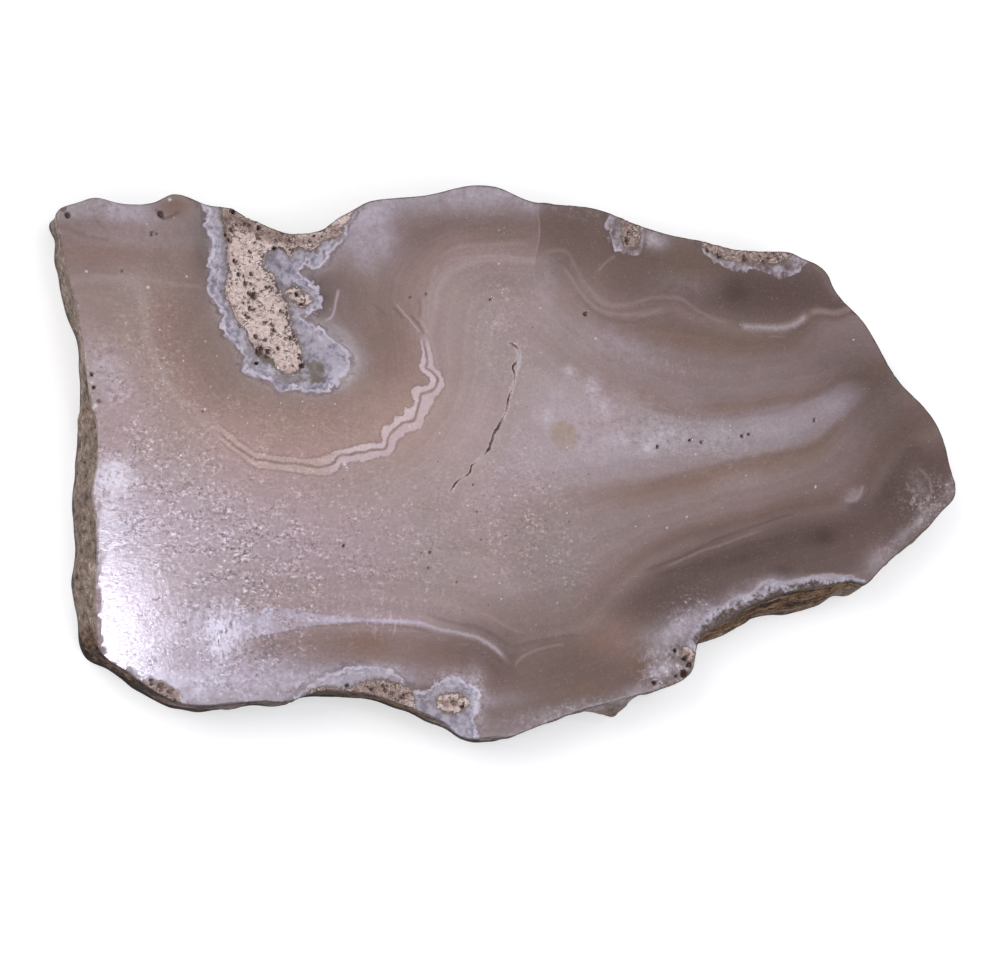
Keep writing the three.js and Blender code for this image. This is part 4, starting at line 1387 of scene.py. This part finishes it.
class StoneFinish(Finish):
    """The material of the stone, with the noises and marks that its layers share."""

    def __init__(self, name):
        super().__init__(name)
        self.place = self.node("TexCoord", output="Object")
        parts = self.node("SeparateXYZ", None, {"Vector": self.place})
        self.across = parts / MM
        self.height = parts.other("Z") / MM
        self.broad = self.noise(self.place, 0.2, 2.0)
        self.medium = self.noise(self.place, 0.8, 3.0, 0.6)
        self.fine = self.noise(self.place, 2.2, 3.0, 0.6)
        self.tiny = self.noise(self.place, 6.0, 2.0, 0.6)
        self.speckle = self.noise(self.place, 3.2, 3.0, 0.7)
        self.mottle = self.noise(self.place, 0.45, 3.0, 0.6)
        self.blobs = self.noise(self.place, 2.0, 2.0, 0.6)
        self.strokes = self.noise(self.stretched((1.0, 1.7, 1.0), 0.45), 1.8, 2.0, 0.6)
        self.grit = self.field("grit")
        self.pocket = self.field("pocket") + self.fine * 1.1 + self.medium * 0.6
        self.pocket_body = self.pocket.rise(0.07, -0.07)
        self.frost = self.field("frost") + self.fine * 1.2 + self.medium * 0.9
        self.frost_body = self.frost.rise(0.12, -0.12)

    def stretched(self, scale, turn=0.0):
        """Places for a noise that is turned, and squeezed along some axes."""
        return self.node("Mapping", None, {
            "Vector": self.place, "Rotation": (0.0, 0.0, turn), "Scale": scale})

    def cells(self, per_mm):
        """Distance from the middle of the nearest of scattered cells, and its own random values."""
        distance = self.node("TexVoronoi", {"feature": "F1"}, {
            "Vector": self.place, "Scale": per_mm / MM})
        return distance, self.node("SeparateColor", None, {"Color": distance.other("Color")})


def add_bands(finish):
    """Bands along the growth of the stone, darker on the right side and paler on the left, partly as
    painted sheen.
    """
    growth = finish.field("growth") + finish.broad * 0.16 + finish.medium * 0.05
    level = growth / CORE_LEVEL
    right = finish.ramp(level, RIGHT_BANDS)
    left = finish.ramp(level, LEFT_BANDS)
    colour = finish.mix(right, left, finish.field("left"))
    stripes = finish.node("TexNoise", {"noise_dimensions": "1D"}, {
        "W": growth, "Scale": 6.5, "Detail": 4.0, "Roughness": 0.62})
    return finish.brighten(colour, 1.0 + (stripes - 0.5) * 0.32)


def add_clouds(finish, colour):
    """Dark, smoky, rosy, brown and milky clouds in the clear stone, and a flat tan spot."""
    medium, fine = finish.medium, finish.fine
    edge = finish.field("shadow_edge") + fine * 0.12
    shadow = finish.field("shadow") * edge.rise(0.10, -0.10)
    colour = finish.lay(colour, SHADOW_TONE, (shadow * 0.95).least(1.0))
    smoke = finish.field("smoke") * (0.85 + medium * 0.5)
    colour = finish.lay(colour, SMOKE_TONE, smoke.least(1.0))
    rosy = finish.field("rosy") * (0.9 + medium)
    colour = finish.lay(colour, ROSY_TONE, rosy.least(0.9))
    deep = finish.field("deep") * (0.9 + medium + fine)
    colour = finish.lay(colour, DEEP_TONE, deep.least(1.0))
    warm = finish.field("warm") * (0.7 + finish.broad)
    colour = finish.lay(colour, WARM_TONE, warm.least(1.0))
    milk = finish.field("milk") * (0.95 + medium * 1.8 + fine * 0.6)
    colour = finish.lay(colour, MILK_TONE, milk.least(1.0))
    wedge = (finish.field("wedge") + fine * 0.7).rise(0.12, -0.12)
    colour = finish.lay(colour, MILK_TONE, (wedge * (0.42 + medium * 2.0)).between(0.0, 0.85))
    spot = (finish.field("tan_spot") + fine * 0.5).rise(0.35, -0.35)
    return finish.lay(colour, TAN_TONE, spot * (0.60 + medium * 2.0).between(0.2, 0.9))


def add_lines(finish, colour):
    """Fine pale and dark lines between the bands."""
    for layer in range(len(line_layers())):
        line = abs(finish.field(f"line_{layer}") + finish.fine * 1.4).rise(1.7, 0.0)
        gain = finish.field(f"gain_{layer}") * line
        line_tone = finish.mix(tone(*LINE_SOFT_TONE), tone(*LINE_TONE), gain.rise(0.30, 0.60))
        colour = finish.mix(colour, line_tone, (gain * 0.9).most(0.0))
        colour = finish.lay(colour, DARK_LINE_TONE, (gain * -0.8).most(0.0))
    return colour


def add_seam(finish, colour):
    """A pale band with a dark line along its middle: tan on the left, white on the right."""
    medium, fine = finish.medium, finish.fine
    bright = finish.across.rise(*SEAM_BRIGHTENS)
    cover = finish.field("seam_cover")
    band = finish.field("seam_band") + fine * 0.8
    middle = finish.field("seam") + fine * 0.35 + medium * 0.15
    pale = finish.mix(tone(*SEAM_TAN_TONE), tone(*SEAM_TONE), bright)
    outer = middle.rise(0.05, -0.05) * bright
    pale = finish.lay(pale, SEAM_OUTER_TONE, outer)
    body = band.rise(0.12, -0.14) * (0.72 + bright * 0.24 + medium * 0.5 + fine * 0.4)
    colour = finish.mix(colour, pale, (body * cover).least(1.0))
    gap = abs(middle).rise(0.30, 0.06) * band.rise(0.1, -0.1) * (0.85 + medium)
    edges = abs(band - 0.06).rise(0.24, 0.02) * (0.45 + medium * 1.2).most(0.0)
    return finish.lay(colour, SEAM_GAP_TONE, (gap.most(edges) * cover * 0.85).least(1.0))


def add_nicks_with_painted_light(finish, colour):
    """Unevenness of the sawn face: soft blobs, and slanted nicks where it is gritty, with painted
    highlights and painted shade on the nicks.
    """
    strokes, blobs = finish.strokes, finish.blobs
    patchy = finish.grit * finish.grit.least(1.2) * (0.75 + finish.mottle * 5.0).between(0.1, 1.8)
    light = finish.mottle * 0.22 + finish.speckle * (0.32 + patchy * 2.2)
    light = light + blobs * (0.12 + patchy * 1.9) + strokes * (0.14 + patchy * 1.0)
    colour = finish.brighten(colour, 1.0 + light)
    # Painted highlight on the bright side of the nicks, painted shade on the dark side
    bright = (strokes + blobs * 0.5).rise(0.12, 0.19) * patchy
    dark = (strokes - blobs * 0.5).rise(-0.14, -0.20) * patchy
    colour = finish.lay(colour, PALE_AND_HIGHLIGHT_TONE, (bright * 0.80).least(0.95))
    return finish.lay(colour, SPECK_TONE, (dark * 0.55).least(0.75)), bright + dark


def add_scratches(finish, colour):
    """Pale upright scratches of the saw, with darker stone between them; one patch of them is a painted
    highlight.
    """
    scratches = finish.noise(finish.stretched((2.0, 0.65, 1.0)), 1.1, 3.0, 0.65) + finish.blobs * 0.35
    scratched = finish.field("scratched")
    scratch = (scratches + scratched * 0.12).rise(0.06, 0.16) * scratched.least(1.0)
    colour = finish.lay(colour, PALE_AND_HIGHLIGHT_TONE, (scratch * 0.85).least(0.92))
    gap = scratches.rise(-0.03, -0.14) * (scratched - 0.35).most(0.0)
    return finish.lay(colour, HALO_SHADE_TONE, (gap * 0.8).least(0.6)), scratch


def add_tints(finish, colour):
    """Broad pink, olive, bluish and brownish tints."""
    hue = finish.noise(finish.place, 0.13, 3.0, 0.55) * 3.2 + finish.speckle * 0.8 + 0.5
    tint = finish.mix(PINK_TINT, OLIVE_TINT, hue.between(0.0, 1.0))
    colour = finish.mix(colour, tint, 1.0, "MULTIPLY")
    colour = finish.mix(colour, COOL_TINT, finish.field("cool"), "MULTIPLY")
    return finish.mix(colour, TAN_TINT, finish.field("tan_tint"), "MULTIPLY")


def add_sugar(finish, colour):
    """Small pale crystals, with darker gaps between them."""
    sugar = finish.field("sugar")
    heaps = finish.noise(finish.place, 1.15, 3.0, 0.75)
    crystals = heaps.rise(0.0, 0.13) * sugar * (0.80 + finish.fine)
    gaps = heaps.rise(-0.03, -0.15) * sugar * (0.60 + finish.fine)
    colour = finish.lay(colour, SUGAR_GAP_TONE, gaps.most(0.0))
    return finish.lay(colour, SUGAR_TONE, crystals.between(0.0, 1.0))


def add_specks(finish, colour):
    """White glints and dark specks: some at their own places, the rest scattered."""
    tiny, grit = finish.tiny, finish.grit
    cells, draw = finish.cells(1.5)
    speck = (cells + tiny * 0.5).rise(0.24, 0.06)
    glint = speck * (draw + grit * 0.12).rise(0.97, 1.06)
    dark = speck * (draw.other("Green") + grit * 0.09).rise(0.96, 1.02)
    placed = (finish.field("glint") + tiny * 1.6 + finish.fine * 0.8).rise(0.15, 0.95)
    colour = finish.lay(colour, SPECK_TONE, dark.most(finish.field("dark").rise(0.0, 0.4)) * 0.75)
    return finish.lay(colour, GLINT_TONE, glint.most(placed * 0.85) * 0.75)


def add_halo(finish, colour):
    """Grey-blue chalcedony round the pockets, with a pale scalloped edge."""
    medium, fine = finish.medium, finish.fine
    scallops = abs(finish.noise(finish.place, 0.62, 1.0, 0.4)) * 2.6
    halo = finish.field("halo") + fine * 0.9 - scallops + 0.12
    blotches = finish.noise(finish.place, 0.95, 3.0, 0.65)
    cloud = (0.36 + blotches * 5.4 + fine * 0.8 + finish.field("milk") * 0.5).between(0.0, 1.0)
    stone = finish.mix(tone(*HALO_TONE), tone(*HALO_PALE_TONE), cloud)
    stone = finish.lay(stone, HALO_SHADE_TONE, (blotches * -6.0 - 0.6).between(0.0, 0.7))
    inner = abs(halo + 1.0 + medium).rise(0.20, 0.03) * (0.35 + medium * 3.0).between(0.0, 0.7)
    rim = (0.72 + medium * 2.6 + fine * 1.5).between(0.10, 1.0) * abs(halo + 0.24).rise(0.34, 0.05)
    stone = finish.lay(stone, HALO_LINE_TONE, rim.most(inner))
    near = (finish.pocket + fine * 0.6 + medium * 0.8).rise(0.75, 0.15)
    stone = finish.lay(stone, HALO_INNER_TONE, near * (0.65 + medium * 1.5).most(0.1))
    dull = finish.field("dull")
    stone = finish.lay(stone, HALO_DULL_TONE, (dull * 0.35).least(0.35))
    shade = abs(halo - 0.24).rise(0.36, 0.05) * (0.42 + medium * 1.8).most(0.0)
    colour = finish.lay(colour, HALO_SHADE_TONE, shade)
    clear = 1.0 - dull.least(1.0) * (0.38 - blotches * 3.5).between(0.0, 1.0)
    return finish.mix(colour, stone, halo.rise(0.10, -0.10) * clear)


def add_chalk(finish, colour):
    """Chalk-white patches, with painted highlights of the glare among them, and olive stone between the
    large pocket and its halo.
    """
    chalk = 0.74 + finish.medium * 2.6 + finish.blobs * 1.4 + finish.strokes * 1.4
    # Near the lower left this lays a painted highlight of the glare
    colour = finish.lay(colour, PALE_AND_HIGHLIGHT_TONE, (finish.field("chalky") * chalk).between(0.0, 0.92))
    olive = (finish.field("edge_olive") + finish.fine + finish.medium).rise(0.30, -0.20)
    return finish.lay(colour, OLIVE_TONE, olive * (0.6 + finish.medium))


def add_frost(finish, colour):
    """Frosted and broken stone on the lower edge."""
    frost, medium, fine = finish.frost, finish.medium, finish.fine
    depth = (frost + medium * 1.2).rise(-0.35, -1.0)
    level = 0.78 - depth * 0.40 + medium * 0.9 + fine * 1.1 + finish.tiny * 0.3
    frost_tone = finish.lay(finish.ramp(level, FROST_TONES), HOLLOW_TONE,
                            (frost + fine * 1.5).rise(-0.75, -1.3) * 0.7)
    return finish.mix(colour, frost_tone, finish.frost_body * 0.92)


def add_crumbs(finish, colour, hollow):
    """Porous cream filling of the pockets: crooked grains with brown crevices and pinholes."""
    place, medium, tiny = finish.place, finish.medium, finish.tiny
    winding = finish.noise(finish.stretched((1.0, 1.4, 1.0), 0.7), 0.85, 2.0, 0.6, 0.5)
    broken = finish.noise(place, 0.8, 1.0)
    crevice = abs(winding).rise(0.034, 0.006) * broken.rise(-0.08, 0.06)
    lip = abs(abs(winding) - 0.055).rise(0.03, 0.0) * 0.35
    holes, draw = finish.cells(1.35)
    pinhole = (holes + tiny * 0.9 - draw * 0.14).rise(0.22, 0.08) * draw.other("Green").rise(0.45, 0.60)
    level = 0.60 + finish.noise(place, 2.0, 2.0, 0.6) * 1.2 + medium * 0.9 + tiny * 0.5 + lip
    dull = (finish.field("dull") + medium * 0.9).rise(0.10, 0.60)
    crumbs = finish.mix(finish.ramp(level, CRUMB_TONES), finish.ramp(level, DULL_CRUMB_TONES), dull)
    crumbs = finish.lay(crumbs, CREVICE_TONE, crevice * 0.75)
    crumbs = finish.lay(crumbs, HOLLOW_TONE, hollow.most(pinhole * 0.8))
    return finish.mix(colour, crumbs, finish.pocket_body), crevice.most(pinhole)


def add_pockets(finish, colour):
    """The pockets with their dark rims, hollows and pits, the hollows and pits darkened as painted shade,
    and the clear olive spots beside them.
    """
    medium, fine, tiny = finish.medium, finish.fine, finish.tiny
    # Painted shade in the hollows and pits of the pockets
    hollow = (finish.field("sunk") + tiny * 0.4 + fine * 0.4).rise(0.55, 0.95) * 0.6
    hollow = hollow.most((finish.field("pit") + tiny * 0.8 + fine * 0.6).rise(0.06, 0.36))
    rim = abs(finish.pocket - 0.10).rise(0.26, 0.03)
    colour = finish.lay(colour, POCKET_RIM_TONE, rim * (0.6 + medium * 1.2).most(0.1))
    colour, crevices = add_crumbs(finish, colour, hollow * 0.92)
    olive = (finish.field("olive") + fine * 1.6 + medium * 0.8).rise(0.30, -0.35)
    return finish.lay(colour, OLIVE_TONE, olive * (0.8 + medium)), crevices


def add_pores(finish, colour):
    """Pores in the clear stone, darkened with their depth as painted shade, and the crack: open in places,
    and a fine line between them.
    """
    medium, fine = finish.medium, finish.fine
    crack = finish.field("crack") + fine * 0.30
    shut = 1.0 - finish.field("crack_open").least(1.0)
    # Painted shade in the modelled pores, darker where they are deeper
    pore = (finish.field("sunk") + finish.tiny * 0.35 + fine * 0.35).rise(0.12, 0.50)
    pore = pore * (1.0 - finish.pocket_body) * (1.0 - crack.rise(1.2, 0.7) * shut * 0.9)
    colour = finish.lay(colour, PORE_TONE, pore * (0.78 - finish.frost_body * 0.45))
    opening = 0.09 + medium * 0.40 - shut * 0.10
    crack_tone = finish.mix(tone(*CRACK_TONE), tone(*CREVICE_TONE), finish.mottle.rise(-0.06, 0.06))
    colour = finish.lay(colour, CRACK_LIP_TONE, crack.rise(0.46, 0.2) * (0.3 + fine).most(0.0))
    return finish.mix(colour, crack_tone, (crack - opening).rise(0.10, -0.03) * (1.0 - shut * 0.65))


def rind_colour(finish):
    """Mottled brown rind, with level layers on parts of the wall."""
    mottles = finish.noise(finish.place, 1.1, 4.0, 0.75)
    streaks = finish.noise(finish.stretched((0.22, 0.22, 1.6)), 1.0, 3.0, 0.6)
    layered = finish.field("layered")
    mottling = mottles * 1.9 - mottles.rise(-0.08, -0.18) * 0.25
    level = 0.44 + finish.field("left") * 0.12 + mottling * (1.0 - layered * 0.6)
    level = level + finish.broad * 0.5 + finish.tiny * 0.8
    level = level + layered * (streaks * 2.2 + 0.02) - finish.field("dirty") * 0.24
    rind = finish.ramp(level, RIND_TONES)
    rind = finish.lay(rind, RUST_TONE, (finish.medium * 2.4 - 0.25).between(0.0, 0.5))
    return finish.mix(rind, LAYER_TINT, layered, "MULTIPLY")


def add_rind(finish, colour):
    """The rind on the wall, its thin rim round the sawn faces, and painted shade along the rim and at the
    foot of the wall.
    """
    medium, fine = finish.medium, finish.fine
    rind, thin = finish.field("rind"), finish.field("thin_rind")
    edge = finish.field("edge") + medium * 0.5 + fine * 0.5
    rim = edge.rise(0.24, 0.08) * (0.45 + finish.broad * 2.0 + medium).most(0.0)
    cover = rind * (1.0 - thin * (0.85 + medium).least(1.0))
    cover = cover.most(rim * (1.0 - thin * 0.7)).least(1.0)
    colour = finish.mix(colour, rind_colour(finish), cover)
    # Painted shade: a dark line along the rim, and darkness at the foot of the wall
    lip = (finish.field("edge") + medium * 0.35).rise(0.20, 0.03) * finish.across.rise(*RIM_SHADE_SPAN)
    colour = finish.lay(colour, PAINTED_SHADE_TONE, lip * (0.62 + medium * 1.5).between(0.0, 0.85))
    foot_shade = finish.height + fine * 2.0 + medium * 1.2 - thin * 0.8 - finish.field("dirty") * 0.9
    return finish.lay(colour, PAINTED_SHADE_TONE, foot_shade.rise(1.1, 0.5) * rind * 0.85)


def add_surface(finish, colour, nicks, crevices, gloss):
    """Polish on the sawn face, none on crumbly stone and darker rind, and fine relief."""
    medium, fine, tiny, grit = finish.medium, finish.fine, finish.tiny, finish.grit
    rind, pocket = finish.field("rind"), finish.pocket_body
    coarse = pocket.most(rind).most(finish.frost_body * 0.7)
    roughness = gloss + grit * 0.02 + medium * 0.03 + coarse * 0.5
    relief = finish.strokes * (0.0006 + grit * 0.005) - nicks * 0.004
    relief = relief + coarse * (tiny * 0.06 + fine * 0.08) + fine * grit * 0.005
    relief = relief - pocket * crevices * 0.10
    bump = finish.node("Bump", None, {"Height": relief, "Distance": MM, "Strength": 1.0})
    polished = finish.node("BsdfPrincipled", None, {
        "Base Color": colour, "Roughness": roughness.between(0.06, 0.95), "Normal": bump, "IOR": 1.54})
    matte = finish.node("BsdfPrincipled", None, {
        "Base Color": colour, "Roughness": 0.95, "Specular IOR Level": 0.1, "Normal": bump})
    dry = rind * (finish.field("layered") + finish.field("dirty")).least(0.8)
    surface = finish.node("MixShader", None, {0: dry, 1: polished, 2: matte})
    finish.node("OutputMaterial", None, {"Surface": surface})


def agate_finish(settings):
    """The stone's material: its pattern from the inside out, then its damage and its rind."""
    finish = StoneFinish("banded agate")
    colour = add_bands(finish)
    colour = add_clouds(finish, colour)
    colour = add_lines(finish, colour)
    colour = add_seam(finish, colour)
    colour, nicks = add_nicks_with_painted_light(finish, colour)
    colour, scratch = add_scratches(finish, colour)
    colour = add_tints(finish, colour)
    colour = add_sugar(finish, colour)
    colour = add_specks(finish, colour)
    colour = add_halo(finish, colour)
    colour = add_chalk(finish, colour)
    colour = add_frost(finish, colour)
    colour, crevices = add_pockets(finish, colour)
    colour = add_pores(finish, colour)
    colour = add_rind(finish, colour)
    add_surface(finish, colour, nicks + scratch * 0.5, crevices, settings.gloss)
    return finish.material


def floor_finish(settings):
    """A plain pale floor with a slight glow."""
    finish = Finish("pale floor")
    place = finish.node("TexCoord", output="Object")
    cloud = finish.noise(place, 0.01, 2.0)
    colour = finish.brighten(settings.floor_tone, 1.0 + cloud * 0.02)
    surface = finish.node("BsdfPrincipled", None, {
        "Base Color": colour, "Roughness": 0.85, "Emission Color": colour,
        "Emission Strength": settings.floor_glow})
    finish.node("OutputMaterial", None, {"Surface": surface})
    return finish.material


# Camera and light


def look_along(thing, eye, target, up=(0, 1, 0)):
    """Puts a camera or a light at a place, turned to a target."""
    forward = (target - eye).normalized()
    right = forward.cross(Vector(up)).normalized()
    turned = Matrix((right, right.cross(forward), -forward)).transposed()
    thing.matrix_world = Matrix.Translation(eye) @ turned.to_4x4()


def add_light(name, eye, target, size, power, colour):
    """A soft rectangular lamp at a place, turned to a target."""
    bpy.ops.object.light_add(type="AREA", location=eye)
    light = bpy.context.object
    light.name = name
    light.data.shape = "RECTANGLE"
    light.data.size = size[0]
    light.data.size_y = size[1]
    light.data.energy = power
    light.data.color = colour
    look_along(light, Vector(eye), Vector(target))


def make_camera(settings):
    """The camera whose picture the places of the pattern are given in."""
    bpy.ops.object.camera_add()
    camera = bpy.context.object
    camera.data.sensor_fit = "AUTO"
    camera.data.sensor_width = SENSOR
    camera.data.lens = SENSOR * PIXELS_PER_MM * settings.camera_distance / MM / IMAGE_SIZE[0]
    camera.data.clip_start = 0.01
    camera.data.clip_end = 20.0
    across = Vector((*VIEW_OFFSET, 0)) * MM
    rise = math.sqrt(settings.camera_distance ** 2 - across.length_squared)
    target = Vector((*VIEW_CENTRE, HEIGHT)) * MM
    look_along(camera, target + across + Vector((0, 0, rise)), target)
    bpy.context.scene.camera = camera


def make_stage(settings):
    """Floor, sky, lamps and camera."""
    bpy.ops.mesh.primitive_plane_add(size=settings.floor_size)
    floor = bpy.context.object
    floor.name = "floor"
    floor.data.materials.append(floor_finish(settings))
    world = bpy.data.worlds.new("studio")
    bpy.context.scene.world = world
    world.use_nodes = True
    sky = world.node_tree.nodes["Background"]
    sky.inputs["Color"].default_value = (*settings.sky_tone, 1.0)
    sky.inputs["Strength"].default_value = settings.sky_strength
    for name, eye, target, size, power, colour in LIGHTS:
        add_light(name, eye, target, size, power * settings.light_strength, colour)
    make_camera(settings)
    bpy.context.scene.view_settings.view_transform = "Standard"


# The add-on


class AgateSettings(bpy.types.PropertyGroup):
    face_cell: FloatProperty(
        name="Face cell", description="Size of the mesh cells on the upper face",
        default=0.00045, min=0.0002, max=0.005, unit="LENGTH", precision=5)
    back_cell: FloatProperty(
        name="Back cell", description="Size of the mesh cells on the back face",
        default=0.0008, min=0.0002, max=0.005, unit="LENGTH", precision=5)
    rind_relief: FloatProperty(
        name="Rind relief", description="Height of the small lumps of the rind",
        default=LUMP_HEIGHT * MM, min=0.0, max=0.001, unit="LENGTH", precision=5)
    gloss: FloatProperty(
        name="Roughness of the face", description="How far the sawn face blurs a reflection",
        default=0.088, min=0.06, max=0.8)


class StageSettings(bpy.types.PropertyGroup):
    floor_size: FloatProperty(
        name="Floor size", description="Length of each side of the floor",
        default=4.0, min=0.5, unit="LENGTH")
    floor_glow: FloatProperty(
        name="Floor glow", description="Light the floor gives by itself, which softens shadows",
        default=0.25, min=0.0)
    floor_tone: FloatVectorProperty(
        name="Floor colour", description="Colour of the floor", subtype="COLOR",
        default=(0.95, 0.95, 0.95), min=0.0, max=1.0)
    sky_tone: FloatVectorProperty(
        name="Sky colour", description="Colour of the light from all round", subtype="COLOR",
        default=(0.96, 0.97, 1.0), min=0.0, max=1.0)
    sky_strength: FloatProperty(
        name="Sky strength", description="Strength of the light from all round", default=0.75, min=0.0)
    light_strength: FloatProperty(
        name="Light strength", description="Strength of the studio lights", default=1.0, min=0.0)
    camera_distance: FloatProperty(
        name="Camera distance", description="From the camera to the upper face",
        default=VIEW_DISTANCE * MM, min=0.1, unit="LENGTH")


class AGATE_OT_stone(bpy.types.Operator):
    """Model the slab of agate and give it its bands, seams, pockets and rind"""

    bl_idname = "agate.stone"
    bl_label = "Make Agate Slice"

    def execute(self, context):
        piece = make_stone(context.scene.agate)
        piece.data.materials.append(agate_finish(context.scene.agate))
        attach(piece, BODY)
        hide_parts(NODE)
        return {"FINISHED"}


class AGATE_OT_stage(bpy.types.Operator):
    """Lay the floor, and place the lights and the camera"""

    bl_idname = "agate.stage"
    bl_label = "Make Stage"

    def execute(self, context):
        make_stage(context.scene.agate_stage)
        return {"FINISHED"}


class AGATE_PT_panel(bpy.types.Panel):
    bl_idname = "AGATE_PT_panel"
    bl_label = "Agate slice"
    bl_space_type = "VIEW_3D"
    bl_region_type = "UI"
    bl_category = "Agate"

    def draw(self, context):
        for group, operator in ((context.scene.agate, AGATE_OT_stone),
                                (context.scene.agate_stage, AGATE_OT_stage)):
            box = self.layout.box()
            for name in group.bl_rna.properties.keys():
                if name not in ("rna_type", "name"):
                    box.prop(group, name)
            box.operator(operator.bl_idname)


CLASSES = (AgateSettings, StageSettings, AGATE_OT_stone, AGATE_OT_stage, AGATE_PT_panel)


def register():
    for item in CLASSES:
        bpy.utils.register_class(item)
    bpy.types.Scene.agate = PointerProperty(type=AgateSettings)
    bpy.types.Scene.agate_stage = PointerProperty(type=StageSettings)


def unregister():
    del bpy.types.Scene.agate_stage
    del bpy.types.Scene.agate
    for item in reversed(CLASSES):
        bpy.utils.unregister_class(item)


def main():
    register()
    bpy.ops.agate.stage()
    bpy.ops.agate.stone()


if __name__ == "__main__":
    main()
